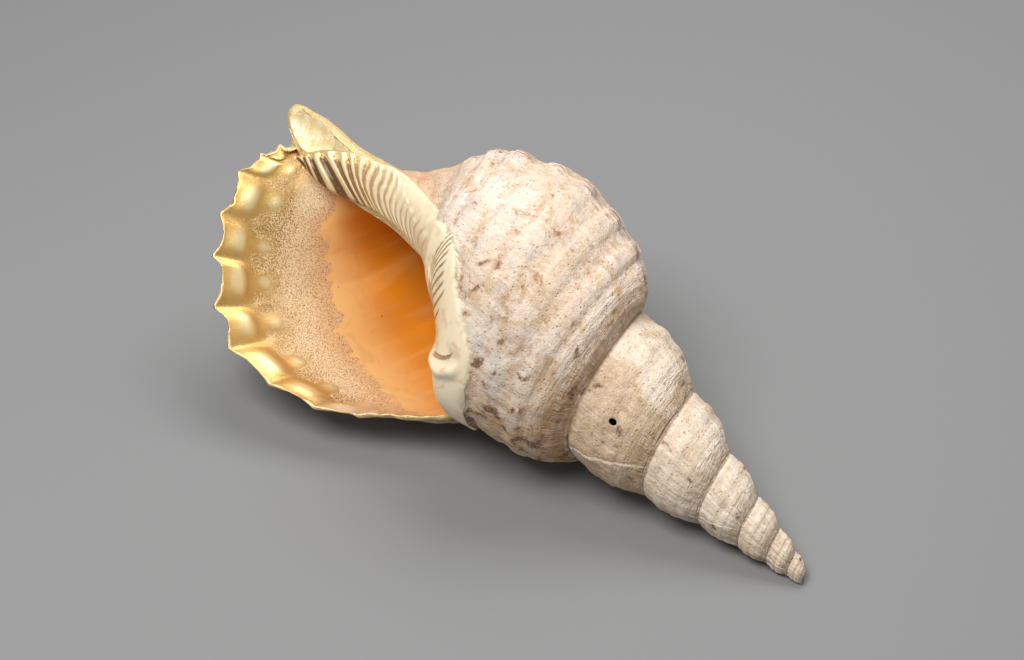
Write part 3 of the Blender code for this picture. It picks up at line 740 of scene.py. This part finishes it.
def primitive_mesh(name, make, place, region):
    """Tool made from a primitive, placed by a matrix in metres."""
    work = bmesh.new()
    make(work)
    bmesh.ops.transform(work, matrix=place, verts=work.verts)
    bmesh.ops.recalc_face_normals(work, faces=work.faces)
    mesh = bpy.data.meshes.new(name)
    work.to_mesh(mesh)
    work.free()
    mesh.uv_layers.new(name="coil")
    add_regions(mesh, region)
    return added(name, mesh)


def make_ball(work):
    bmesh.ops.create_uvsphere(work, u_segments=72, v_segments=48, radius=1.0)


def make_pin(work):
    bmesh.ops.create_cone(work, cap_ends=True, segments=40, radius1=1.0, radius2=1.0, depth=16.0)


def fold_place():
    """Axes of the rounded hollow beside the end of the band."""
    along = Vector(FOLD_ALONG).normalized()
    deep = along.cross(Vector(FOLD_SIDE)).normalized()
    side = deep.cross(along)
    turn = Matrix((along, side, deep)).transposed().to_4x4()
    size = Matrix.Diagonal((FOLD_HALF[0], FOLD_HALF[1], FOLD_HALF[2], 1.0))
    return Matrix.Translation((FOLD_AT[1], FOLD_AT[2], -FOLD_AT[0])) @ turn @ size


def hole_place():
    """Axes of the short round hole through the wall of the whorl above the body."""
    out = Vector((HOLE_AT[1], HOLE_AT[2], 4.0)).normalized()
    turn = out.to_track_quat("Z", "X").to_matrix().to_4x4()
    size = Matrix.Diagonal((HOLE_RADIUS, 0.8 * HOLE_RADIUS, 1.0, 1.0))
    return Matrix.Translation((HOLE_AT[1], HOLE_AT[2], -HOLE_AT[0])) @ turn @ size


def add_step(shell, tool, kind):
    cut = shell.modifiers.new(tool.name, "BOOLEAN")
    cut.operation = kind
    cut.object = tool
    cut.solver = "MANIFOLD"


def settled(item):
    """Mesh of the item with its modifiers taken in."""
    bpy.context.view_layer.update()
    graph = bpy.context.evaluated_depsgraph_get()
    mesh = bpy.data.meshes.new_from_object(item.evaluated_get(graph))
    item.modifiers.clear()
    item.data = mesh
    return mesh


def roughen(shell, where):
    """Lumps, growth wrinkles and worn pits on the outside, along the surface's own direction."""
    mesh = shell.data
    a, c = where.T
    co = np.empty(len(mesh.vertices) * 3)
    mesh.vertices.foreach_get("co", co)
    co = co.reshape(-1, 3)
    out = np.array([v.vector[:] for v in mesh.vertex_normals])
    p = co * 1000.0
    spire = ease((a - 0.95 * TURN) / 3.0)
    degrees = np.degrees(a)
    own = a < TURN + 0.02
    bare = 1.0 - ease((degrees - callus_edge(c)) / CALLUS_FADE + 0.5) * own
    bare = bare * ease((a - 0.02) / 0.2)
    height = sum(rise * value_noise(p, size, seed) for rise, size, seed in LUMPS)
    for rise, along, across, seed in WRINKLES:
        at = np.stack([a * along, c * across, 0.0 * a], axis=1)
        height = height + rise * value_noise(at, 1.0, seed)
    worn = np.clip(value_noise(p, PIT_SIZE, PIT_SEED) - 0.25, 0.0, 1.0)
    height = height - (0.25 + 0.35 * spire) * worn
    co = co + out * (height * bare * 0.001)[:, None]
    mesh.vertices.foreach_set("co", co.ravel())
    mesh.update()


def scar_behind(degrees, c):
    """Degrees behind the nearest former lip; large where there is none."""
    nearest = np.full_like(c, NO_VARIX)
    for place, slant, _ in VARICES:
        behind = degrees - place - slant * np.clip(c, 0.0, 1.0)
        nearest = np.where(np.abs(behind) < np.abs(nearest), behind, nearest)
    return nearest


def corner_fields(mesh):
    """Values at the mesh's corners that the materials use; lengths are in millimetres."""
    flat = np.empty(len(mesh.loops) * 2, dtype=np.float32)
    mesh.uv_layers["coil"].data.foreach_get("uv", flat)
    a, c = flat.reshape(-1, 2).astype(float).T
    own = a < TURN + 0.02
    degrees = np.degrees(a)
    across = c - SLIT_SLOPE * (degrees - SLIT_DEGREES)
    number = np.interp(across, SLITS, np.arange(len(SLITS)), left=-0.5, right=len(SLITS) - 0.5)
    radius = suture(-a)[1] + MOUTH_EXTRA
    first, second, third, _ = pads(a, c)
    callus = np.clip((degrees - callus_edge(c)) / CALLUS_FADE, -4.0, 4.0)
    beside = degrees - PARIETAL_AT[0] - PARIETAL_SLOPE * (c - PARIETAL_AT[1])
    return {
        "cord": cord_height(c) / CORD_FULL,
        "callus": np.where(own, callus, -4.0),
        "spire": ease((a - 0.92 * TURN) / 2.5),
        "rim": np.clip(a, 0.0, 4.0) * radius,
        "pad": first + second + 0.5 * third,
        "scar": scar_behind(degrees, c),
        "slit": np.where(own, number, -0.5),
        "slit_in": np.clip((degrees - np.interp(across, SLITS, SLIT_START)) / 10.0, -1.0, 4.0),
        "tooth": np.clip(beside, -30.0, 30.0),
        "gilt": (a - through(GILT_AT, GILT_END, c)) * radius,
        "spray": (a - through(SPRAY_AT, SPRAY_END, c)) * radius,
    }


def add_fields(mesh):
    for name, values in corner_fields(mesh).items():
        field = mesh.attributes.new(name, "FLOAT", "CORNER")
        field.data.foreach_set("value", values.astype(np.float32))


def shell_piece():
    """The whole shell as one mesh."""
    points, faces, coil, where = shell_skin()
    shell = closed_mesh("triton", points, faces, coil, OUTSIDE)
    roughen(shell, where)
    tools = [
        (closed_mesh("hollow", *hollow_tool()), "DIFFERENCE"),
        (primitive_mesh("fold", make_ball, PLACE @ fold_place(), FOLDED), "DIFFERENCE"),
        (closed_mesh("band", *band_pad(), BANDED), "UNION"),
        (primitive_mesh("hole", make_pin, PLACE @ hole_place(), DRILLED), "DIFFERENCE"),
    ]
    for tool, kind in tools:
        add_step(shell, tool, kind)
    mesh = settled(shell)
    count = sum(len(p.vertices) - 2 for p in mesh.polygons)
    fewer = shell.modifiers.new("fewer", "DECIMATE")
    fewer.ratio = TRIANGLES / count
    mesh = settled(shell)
    for tool, _ in tools:
        bpy.data.objects.remove(tool, do_unlink=True)
    for point in mesh.vertices:
        point.co.z = max(point.co.z, 0.0)
    add_fields(mesh)
    mesh.shade_smooth()
    return shell


class Paint:
    """Short way to write a material's nodes; every value may be a number, a colour or a socket."""

    def __init__(self, finish):
        finish.use_nodes = True
        self.tree = finish.node_tree
        self.shader = self.tree.nodes["Principled BSDF"]
        self.place = self.add("TexCoord").outputs["Object"]

    def put(self, socket, value):
        if isinstance(value, bpy.types.NodeSocket):
            self.tree.links.new(value, socket)
        elif isinstance(value, tuple) and socket.type == "RGBA":
            socket.default_value = (*value, 1.0)
        else:
            socket.default_value = value

    def add(self, kind, inputs=None, **settings):
        """New node with its settings and its inputs, which go by name or number."""
        node = self.tree.nodes.new("ShaderNode" + kind)
        for name, setting in settings.items():
            setattr(node, name, setting)
        for key, value in (inputs or {}).items():
            self.put(node.inputs[key], value)
        return node

    def field(self, name):
        return self.add("Attribute", attribute_name=name).outputs["Fac"]

    def height(self):
        return self.add("SeparateXYZ", {0: self.place}).outputs["Z"]

    def coil(self):
        at = self.add("Attribute", attribute_name="coil").outputs["Vector"]
        split = self.add("SeparateXYZ", {0: at})
        return split.outputs["X"], split.outputs["Y"]

    def calc(self, kind, first, *others):
        """The operation on the first value and each of the others in turn."""
        for value in others:
            first = self.add("Math", {0: first, 1: value}, operation=kind).outputs[0]
        return first

    def single(self, kind, value):
        return self.add("Math", {0: value}, operation=kind).outputs[0]

    def times(self, *values):
        return self.calc("MULTIPLY", *values)

    def plus(self, *values):
        return self.calc("ADD", *values)

    def line(self, value, slope, base):
        """The value times the slope, plus the base."""
        return self.plus(self.times(value, slope), base)

    def rest(self, share):
        """What is left of 1."""
        return self.calc("SUBTRACT", 1.0, share)

    def larger(self, *values):
        return self.calc("MAXIMUM", *values)

    def off_whole(self, value):
        """Distance from the nearest whole number."""
        return self.single("ABSOLUTE", self.calc("SUBTRACT", value, self.single("ROUND", value)))

    def step(self, value, low, high):
        """0 below low, 1 above high, smooth between; low may be the larger one."""
        flip = low > high
        ends = (high, low, 1.0, 0.0) if flip else (low, high, 0.0, 1.0)
        names = ("From Min", "From Max", "To Min", "To Max")
        inputs = {"Value": value, **dict(zip(names, ends))}
        return self.add("MapRange", inputs, interpolation_type="SMOOTHSTEP").outputs["Result"]

    def mix(self, share, one, two):
        return self.add("Mix", {0: share, 6: one, 7: two}, data_type="RGBA").outputs[2]

    def layered(self, colour, *layers):
        """The colour with others laid over it in turn, each with the factors of its share."""
        for other, *factors in layers:
            colour = self.mix(self.times(*factors), colour, other)
        return colour

    def noise(self, size, detail=2.0, at=None, warp=0.0, rough=0.5):
        """Noise from 0 to 1 with lumps of the given size, in metres at a place in space."""
        at = self.place if at is None else at
        inputs = {"Vector": at, "Scale": 1.0 / size, "Detail": detail, "Roughness": rough}
        return self.add("TexNoise", {**inputs, "Distortion": warp}).outputs["Fac"]

    def woven(self, one, two, shift, detail):
        """Noise in the coil's measures; one and two are each a value and its lumps per unit."""
        x, y = (self.times(*pair) for pair in (one, two))
        at = self.add("CombineXYZ", {0: x, 1: y, 2: shift}).outputs[0]
        return self.noise(1.0, detail, at=at)

    def ripples(self, along, across):
        """Noise stretched into bands, short along one direction of the canal's hollow."""
        node = self.add("Mapping", {"Vector": self.place, "Rotation": RIPPLE_TURN})
        node.inputs["Scale"].default_value = (1.0 / along, 1.0 / across, 1.0 / across)
        return self.noise(1.0, at=node.outputs["Vector"])

    def cells(self, size):
        """Distance from the nearest of scattered points, with the given spacing."""
        inputs = {"Vector": self.place, "Scale": 1.0 / size}
        return self.add("TexVoronoi", inputs).outputs["Distance"]

    def raise_by(self, height, depth):
        """Bump from a height field; depth is in metres."""
        node = self.add("Bump", {"Height": height, "Distance": depth})
        normal = self.shader.inputs["Normal"]
        if normal.links:
            self.put(node.inputs["Normal"], normal.links[0].from_socket)
        self.put(normal, node.outputs["Normal"])

    def finish(self, **values):
        for name, value in values.items():
            self.put(self.shader.inputs[name.replace("_", " ").title()], value)


# colours of the outside
CREAM = (0.74, 0.58, 0.43)
PALE = (0.82, 0.72, 0.62)
CHALKY = (0.84, 0.70, 0.55)
PINK = (0.76, 0.56, 0.43)
LILAC = (0.55, 0.49, 0.48)
TAN = (0.58, 0.38, 0.20)
EARTH = (0.58, 0.38, 0.21)
RUST = (0.46, 0.23, 0.08)
DRAB = (0.50, 0.31, 0.14)
PLUM = (0.12, 0.055, 0.04)
SPOT = (0.24, 0.12, 0.07)
BLEACHED = (0.92, 0.82, 0.69)
STRIPE = (0.27, 0.13, 0.08)
OLD_LIP = (0.97, 0.88, 0.76)
# painted shade at the foot of the former lips' steep edges
LIP_FOOT_PAINTED_SHADE = (0.20, 0.11, 0.05)
# darker colour along the suture groove
SEAM_DARK = (0.24, 0.13, 0.06)
NECK_BROWN = (0.58, 0.35, 0.20)
IVORY = (0.94, 0.80, 0.56)
IVORY_SHADE = (0.76, 0.57, 0.36)
# orange-brown of the cuts in the callus, also the painted shadow beside its tooth
CUT_AND_SHADOW_BROWN = (0.40, 0.17, 0.04)
# colours of the inside
GOLD = (0.72, 0.44, 0.14)
GILDED = (0.92, 0.69, 0.34)
# painted highlight on the tops of the lip's pads
PAD_HIGHLIGHT = (1.0, 0.84, 0.46)
PALE_LEAF = (0.98, 0.86, 0.64)
# brown specks on the gold off the pads, partly painted shade between them
LEAF_SPECKS_AND_SHADE = (0.42, 0.25, 0.09)
CANAL_GOLD = (1.0, 0.88, 0.60)
DUSTED = (0.62, 0.42, 0.19)
SPRAY = (0.95, 0.70, 0.41)
SPRAY_PALE = (0.96, 0.77, 0.52)
SPRAY_EDGE = (0.88, 0.48, 0.22)
SPECK = (0.40, 0.20, 0.06)
ORANGE = (0.82, 0.27, 0.02)
DEEP = (0.72, 0.25, 0.01)
PEACH = (1.0, 0.59, 0.22)
WORN_ORANGE = (0.62, 0.30, 0.09)
DOT = (0.30, 0.10, 0.02)
# colours of the band, and the painted shade inside the hole
GROOVE = (0.60, 0.41, 0.21)
GROOVE_LOW = (0.30, 0.16, 0.06)
GROOVE_END = (0.14, 0.06, 0.016)
RIDGE_PALE = (0.80, 0.67, 0.46)
RIDGE_LOW = (0.78, 0.58, 0.31)
RIDGE_STAIN = (0.74, 0.53, 0.30)
HOLE_SHADOW_BROWN = (0.10, 0.05, 0.025)
HOLE_SHADOW_BLACK = (0.03, 0.015, 0.01)

# sizes in metres of the lumps of noise that more than one layer uses
BROAD = 0.05
PATCH = 0.015
SMALL = 0.0042
FINE = 0.0012
DUST = 0.0008
RIPPLE_TURN = (0.5, 0.3, 0.9)


def slit_cuts_and_tooth_shadow(p, c):
    """Short cuts in the callus, and a painted shadow in the crease beside its tooth."""
    slit = p.field("slit")
    cut = p.times(p.step(p.off_whole(slit), 0.20, 0.10), p.step(p.field("slit_in"), 0.0, 0.4))
    cut = p.times(cut, p.step(slit, -0.3, -0.1))
    along = p.plus(p.field("tooth"), p.times(c, -44.0), 56.5)
    # painted shadow beside the tooth on the callus
    tooth_shadow = p.times(p.step(p.single("ABSOLUTE", along), 1.7, 0.8), p.step(c, 1.04, 1.07))
    tooth_shadow = p.times(tooth_shadow, p.step(c, 1.21, 1.17))
    return p.larger(cut, tooth_shadow)


def outside_values(p):
    """Values that several layers of the outside use."""
    v = SimpleNamespace()
    v.a, v.c = p.coil()
    v.cord = p.field("cord")
    v.spire = p.field("spire")
    v.scar = p.field("scar")
    v.body = p.rest(v.spire)
    # 1 near the floor and 0 higher up: the layers below make the shell browner and more blotched
    #                                   towards the floor
    v.low = p.step(p.height(), 0.110, 0.035)
    v.patch = p.noise(PATCH, 4.0, warp=0.5)
    v.small = p.noise(SMALL, 4.0, rough=0.65)
    v.grain = p.noise(FINE, 3.0, rough=0.65)
    v.thread = p.woven((v.a, 5.0), (v.c, 34.0), 0.0, 3.0)
    v.growth = p.woven((v.a, 22.0), (v.c, 3.2), 7.0, 4.0)
    v.crimp = p.woven((v.a, 48.0), (v.c, 8.0), 3.0, 2.0)
    v.hem = p.times(p.step(v.c, 0.020, 0.045), p.step(v.c, 0.23, 0.16))
    v.pits = p.step(p.cells(0.0033), 0.22, 0.08)
    return v


def ground_layers(p, v):
    """Chalky cream with pink and cool patches, brown threads, growth lines and grooves."""
    colour = p.mix(p.step(p.noise(BROAD, 3.0), 0.35, 0.65), CREAM, PALE)
    cool = p.noise(0.012, 4.0, warp=0.7)
    return p.layered(
        colour,
        (CHALKY, v.spire, 0.75),
        (PINK, p.step(v.patch, 0.48, 0.66), v.body, 0.45),
        (LILAC, p.step(cool, 0.53, 0.64), p.line(v.body, 0.36, 0.10)),
        (TAN, p.step(v.thread, 0.50, 0.72), 0.22),
        (TAN, p.step(v.growth, 0.50, 0.66), p.step(v.small, 0.35, 0.60), 0.40),
        (RUST, p.step(v.cord, 0.55, 0.05), p.step(v.small, 0.40, 0.66), p.line(v.body, 0.35, 0.12)),
    )


def dirt_layers(p, v, colour):
    """Grime in patches and on the front of the whorl above the body, with the shell browner towards
    the floor.
    """
    front = p.times(p.step(v.a, 10.3, 11.2), p.step(v.a, 13.0, 12.4), 0.15)
    grime = p.plus(p.noise(0.022, 5.0, warp=0.8, rough=0.62), p.times(v.low, 0.05), front)
    cleaner = p.line(p.step(v.a, 12.8, 14.5), -0.45, 0.95)
    return p.layered(
        colour,
        (DRAB, p.step(grime, 0.50, 0.66), p.line(v.small, 0.9, 0.15), cleaner),
        # browner towards the floor
        (EARTH, v.low, v.body, p.step(v.small, 0.30, 0.60), 0.55),
    )


def blot_layers(p, v, colour):
    """Blotches, most beside the callus, with small spots, pits and grain."""
    beside = p.times(p.step(v.a, 4.2, 4.9), v.body)
    # more blotches towards the floor beside the callus
    low = p.times(beside, v.low, 0.10)
    blot = p.plus(p.noise(0.0085, 3.0, warp=0.5), p.times(beside, 0.03), low, -0.045)
    return p.layered(
        colour,
        (RUST, p.step(blot, 0.54, 0.64), p.line(v.body, 0.40, 0.10)),
        (PLUM, p.step(blot, 0.605, 0.680), p.step(v.grain, 0.34, 0.50), 0.85),
        (SPOT, p.step(p.noise(0.0032), 0.67, 0.73), 0.45),
        (TAN, v.pits, 0.35),
        (BLEACHED, p.step(v.grain, 0.55, 0.68), 0.35),
        (TAN, p.step(v.grain, 0.44, 0.34), 0.30),
    )


def growth_layers(p, v, colour):
    """Hem below the suture, former lips with striped knobs and painted shade at the foot of their
    edge, a darker line in patches along the suture, and the neck.
    """
    stripes = p.step(p.woven((v.a, 44.0), (v.c, 5.0), 5.0, 1.0), 0.50, 0.58)
    knobs = p.times(p.step(v.scar, -15.0, -12.0), p.step(v.scar, -1.0, -3.0))
    knobs = p.times(knobs, p.step(v.cord, 0.35, 0.65), v.body)
    lip = p.times(p.step(v.scar, -1.2, -0.4), p.step(v.scar, 1.6, 0.6))
    seam = p.times(v.spire, p.step(v.c, 0.980, 0.992), p.step(v.c, 1.008, 1.0))
    seam = p.larger(p.step(v.c, 0.015, 0.004), seam)
    return p.layered(
        colour,
        # rust on the hem, more of it towards the floor
        (RUST, v.hem, p.step(v.crimp, 0.44, 0.58), p.line(p.times(v.low, v.body), 0.7, 0.25)),
        (STRIPE, knobs, stripes, 0.70),
        (OLD_LIP, lip, p.line(v.small, 0.9, -0.05)),
        # painted shade at the foot of each former lip's steep edge on the spire
        (LIP_FOOT_PAINTED_SHADE, p.step(v.scar, -3.2, -2.2), p.step(v.scar, -1.0, -1.8), v.spire, 0.6),
        # darker line in patches along the suture groove
        (SEAM_DARK, seam, p.line(v.patch, 1.2, -0.1)),
        (NECK_BROWN, p.step(v.c, 1.55, 1.95), p.line(v.small, 0.9, 0.35)),
    )


def outer_gold(p, v):
    """Share of gold on the outside: at the lip's edge and in flecks on the canal."""
    edge = p.step(p.plus(p.field("rim"), p.times(p.noise(0.006, 3.0), -7.0)), 5.0, 2.0)
    canal = p.plus(v.c, p.times(p.noise(0.008, 3.0), 0.5))
    canal = p.plus(p.times(p.step(canal, 2.10, 2.80), 0.50), p.noise(FINE, 3.0))
    return p.larger(edge, p.times(p.step(canal, 0.66, 0.84), 0.85))


def chalk(finish):
    """Outside of the shell: chalky, stained and blotched, with the smooth callus."""
    p = Paint(finish)
    v = outside_values(p)
    colour = ground_layers(p, v)
    for layers in (dirt_layers, blot_layers, growth_layers):
        colour = layers(p, v, colour)
    # the slits, and the painted shadow beside the callus tooth
    cut = slit_cuts_and_tooth_shadow(p, v.c)
    clouds = p.step(p.noise(0.010, 4.0, warp=0.5), 0.52, 0.68)
    ivory = p.layered(IVORY, (IVORY_SHADE, clouds), (CUT_AND_SHADOW_BROWN, cut, 0.85))
    smooth = p.step(p.plus(p.field("callus"), p.times(p.noise(0.006, 3.0), 1.2)), 0.75, 1.35)
    gold = outer_gold(p, v)
    colour = p.layered(colour, (ivory, smooth), (GILDED, gold))
    lumps = ((v.thread, 0.22), (v.growth, 0.45), (v.small, 0.8), (v.grain, 0.38), (v.pits, -0.35))
    height = p.plus(*(p.times(*lump) for lump in lumps))
    height = p.plus(height, p.times(v.hem, v.crimp, 1.3))
    height = p.plus(height, p.times(p.step(v.c, 0.45, 0.25), v.thread, 0.9))
    height = p.times(height, p.rest(p.times(smooth, 0.93)))
    height = p.plus(height, p.times(cut, smooth, -0.5))
    p.raise_by(height, 0.0013)
    rough = p.plus(0.72, p.times(smooth, -0.38), p.times(gold, -0.25))
    p.finish(base_color=colour, roughness=rough, metallic=p.times(gold, 0.6))


def orange_glaze(p, inner, wave):
    """Orange of the throat, paler at its edge, with worn patches and a few dots."""
    worn = p.step(p.noise(0.009, 4.0, warp=0.6), 0.50, 0.68)
    dots = p.step(p.cells(0.017), 0.055, 0.035)
    return p.layered(
        PEACH,
        (ORANGE, p.step(inner, 0.0, 50.0)),
        (DEEP, p.step(inner, 25.0, 95.0)),
        (PEACH, p.step(wave, 0.45, 0.75), 0.35),
        (WORN_ORANGE, worn, 0.22),
        (DOT, dots, 0.6),
    )


def sprayed_glaze(p, inner, patch, speck):
    """Brown specks sprayed over peach."""
    return p.layered(
        DUSTED,
        (SPRAY, p.step(inner, -50.0, -12.0)),
        (SPRAY_PALE, p.step(patch, 0.45, 0.65), 0.4),
        (SPRAY_EDGE, p.step(inner, -18.0, 0.0), 0.65),
        (SPECK, p.step(speck, 0.46, 0.60), 0.66),
    )


def gold_leaf(p, c, pad, speck):
    """Gold of the pads: a painted highlight on their tops, pale near the suture, and brown specks
    with painted shade between them.
    """
    return p.layered(
        GOLD,
        # painted highlight: lighter gold on the tops of the pads
        (PAD_HIGHLIGHT, p.step(pad, 0.40, 1.0), 0.85),
        (PALE_LEAF, p.step(c, 0.80, 0.50), 0.7),
        # brown specks off the pads, darker there as painted shade
        (LEAF_SPECKS_AND_SHADE, p.step(pad, 0.40, 0.05), p.step(speck, 0.42, 0.58), 0.6),
    )


def glaze(finish):
    """Inside of the last whorl: gold on the rim and the pads, then sprayed specks, then orange."""
    p = Paint(finish)
    a, c = p.coil()
    speck = p.noise(DUST, rough=0.6)
    patch = p.noise(0.012, 3.0)
    wave = p.woven((c, 9.0), (a, 0.8), 0.0, 3.0)
    inner = p.field("spray")
    pad = p.field("pad")
    wavy = p.woven((c, 16.0), (0.0, 1.0), 2.0, 2.0)
    cusp = p.single("ABSOLUTE", p.single("SINE", p.times(c, 26.0)))
    ragged = p.times(p.noise(0.0025, 3.0), 7.0)
    edge = p.plus(inner, p.times(wavy, 16.0), p.times(cusp, -4.0), ragged, -11.5)
    sprayed = p.step(edge, 1.0, -1.0)
    dust = p.step(p.plus(p.field("gilt"), p.times(patch, 10.0), -5.0), 18.0, -12.0)
    crimped = p.times(p.step(c, 0.75, 0.45), -8.0)
    solid = p.plus(p.field("rim"), p.times(pad, -14.0), p.times(patch, 6.0), crimped)
    share = p.larger(p.times(p.step(solid, 20.0, 8.0), 0.6), p.times(dust, 0.20))
    gold = p.times(p.step(p.plus(speck, share), 0.60, 0.70), sprayed)
    colour = p.layered(
        orange_glaze(p, inner, wave),
        (sprayed_glaze(p, inner, patch, speck), sprayed),
        (gold_leaf(p, c, pad, speck), gold),
    )
    p.raise_by(p.times(speck, sprayed), 0.0001)
    p.raise_by(wave, 0.0006)
    p.finish(base_color=colour, metallic=p.times(gold, 0.6), roughness=p.line(sprayed, 0.08, 0.28))


def coat(finish):
    """Wall inside the mouth: deep orange glaze."""
    p = Paint(finish)
    patch = p.noise(0.02, 3.0)
    p.finish(base_color=p.mix(p.step(patch, 0.3, 0.7), DEEP, ORANGE), roughness=0.3)


def ridged(finish):
    """Band along the columella: pale ridges, brown grooves, gilt towards the canal."""
    p = Paint(finish)
    phase, across = p.coil()
    start = p.step(phase, 12.0, 3.0)
    low = p.step(p.plus(p.off_whole(phase), p.times(start, 0.13)), 0.27, 0.42)
    groove = p.layered(GROOVE, (GROOVE_LOW, start), (GROOVE_END, p.step(phase, 6.0, 2.0)))
    stained = p.step(p.noise(0.004, 3.0), 0.45, 0.7)
    ridge = p.layered(RIDGE_PALE, (RIDGE_LOW, start), (RIDGE_STAIN, stained, 0.5))
    faded = p.times(p.step(phase, 9.5, 12.0), p.step(across, 0.60, 0.30))
    faded = p.larger(faded, p.step(across, 0.12, 0.04), p.step(phase, 19.2, 19.4))
    low = p.times(low, p.rest(faded))
    roll = p.times(start, p.step(across, 0.32, 0.10))
    speck = p.plus(p.noise(FINE, 3.0), p.times(roll, 0.25))
    gilt = p.times(p.step(speck, 0.56, 0.68), p.plus(p.times(roll, 0.8), p.times(start, 0.12)))
    metal = p.times(gilt, p.rest(low), 0.7)
    p.raise_by(p.noise(0.0015, 3.0), 0.0002)
    colour = p.layered(ridge, (groove, low), (GILDED, gilt))
    p.finish(base_color=colour, roughness=0.36, metallic=metal)


def gilt(finish):
    """Hollow at the end of the canal: gold with fine ripples that run across it."""
    p = Paint(finish)
    p.raise_by(p.ripples(0.0016, 0.012), 0.0005)
    p.raise_by(p.noise(FINE, 3.0), 0.0002)
    colour = p.mix(p.step(p.noise(0.004, 3.0), 0.35, 0.65), CANAL_GOLD, GILDED)
    p.finish(base_color=colour, metallic=0.25, roughness=0.40)


def drilled(finish):
    """Wall of the small hole, painted near black as painted shade."""
    p = Paint(finish)
    p.finish(base_color=p.mix(p.noise(0.001), HOLE_SHADOW_BROWN, HOLE_SHADOW_BLACK), roughness=0.8)


# the camera in the shell's own axes: place in millimetres, turn about the coil's axis, tilt, roll
CAMERA_AT = (42.76, -1160.73, 71.62)
CAMERA_TURN = -0.0287
CAMERA_TILT = 0.2535
CAMERA_ROLL = -2.3253
CAMERA_LENS = 78.38
# the studio: floor, soft lights with their places and watts, and the grey all around
FLOOR_HALF = 4.0
FLOOR_GREY = 0.235
LIGHT_SIZE = (0.9, 0.7)
LIGHTS = [("key", (0.12, -0.62, 1.20), 11.0), ("front", (0.0, 0.65, 1.35), 19.5)]
WORLD_GREY = 0.8
WORLD_STRENGTH = 0.30


def photo_camera():
    flip = Matrix(((1.0, 0.0, 0.0), (0.0, 0.0, 1.0), (0.0, -1.0, 0.0)))
    roll = Matrix.Rotation(CAMERA_ROLL, 3, "Z")
    tilt = Matrix.Rotation(CAMERA_TILT, 3, "X")
    turn = Matrix.Rotation(CAMERA_TURN, 3, "Z")
    view = (roll @ flip @ tilt @ turn).transposed()
    data = bpy.data.cameras.new("camera")
    data.sensor_width = 36.0
    data.lens = CAMERA_LENS
    data.clip_end = 20.0
    camera = added("camera", data)
    rigid = PLACE.to_3x3() * 1000.0
    camera.matrix_world = Matrix.Translation(PLACE @ Vector(CAMERA_AT)) @ (rigid @ view).to_4x4()
    bpy.context.scene.camera = camera


def soft_light(name, place, power):
    data = bpy.data.lights.new(name, "AREA")
    data.shape = "RECTANGLE"
    data.size, data.size_y = LIGHT_SIZE
    data.energy = power
    light = added(name, data)
    light.location = place
    light.rotation_euler = Vector(place).to_track_quat("Z", "Y").to_euler()


def studio():
    """Plain pale floor, and a large soft light on each side above the shell."""
    work = bmesh.new()
    bmesh.ops.create_grid(work, x_segments=2, y_segments=2, size=FLOOR_HALF)
    mesh = bpy.data.meshes.new("floor")
    work.to_mesh(mesh)
    work.free()
    floor = added("floor", mesh)
    finish = bpy.data.materials.new("paper")
    mesh.materials.append(finish)
    Paint(finish).finish(base_color=(FLOOR_GREY,) * 3, roughness=0.9)
    for light in LIGHTS:
        soft_light(*light)
    world = bpy.data.worlds.new("world")
    bpy.context.scene.world = world
    world.use_nodes = True
    around = world.node_tree.nodes["Background"].inputs
    around["Color"].default_value = (WORLD_GREY, WORLD_GREY, WORLD_GREY, 1.0)
    around["Strength"].default_value = WORLD_STRENGTH


for paint, finish in zip((chalk, glaze, coat, ridged, gilt, drilled), FINISHES):
    paint(finish)
shell = shell_piece()
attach(shell, "root")
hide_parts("shell")
studio()
photo_camera()
bpy.context.scene.view_settings.view_transform = "Standard"
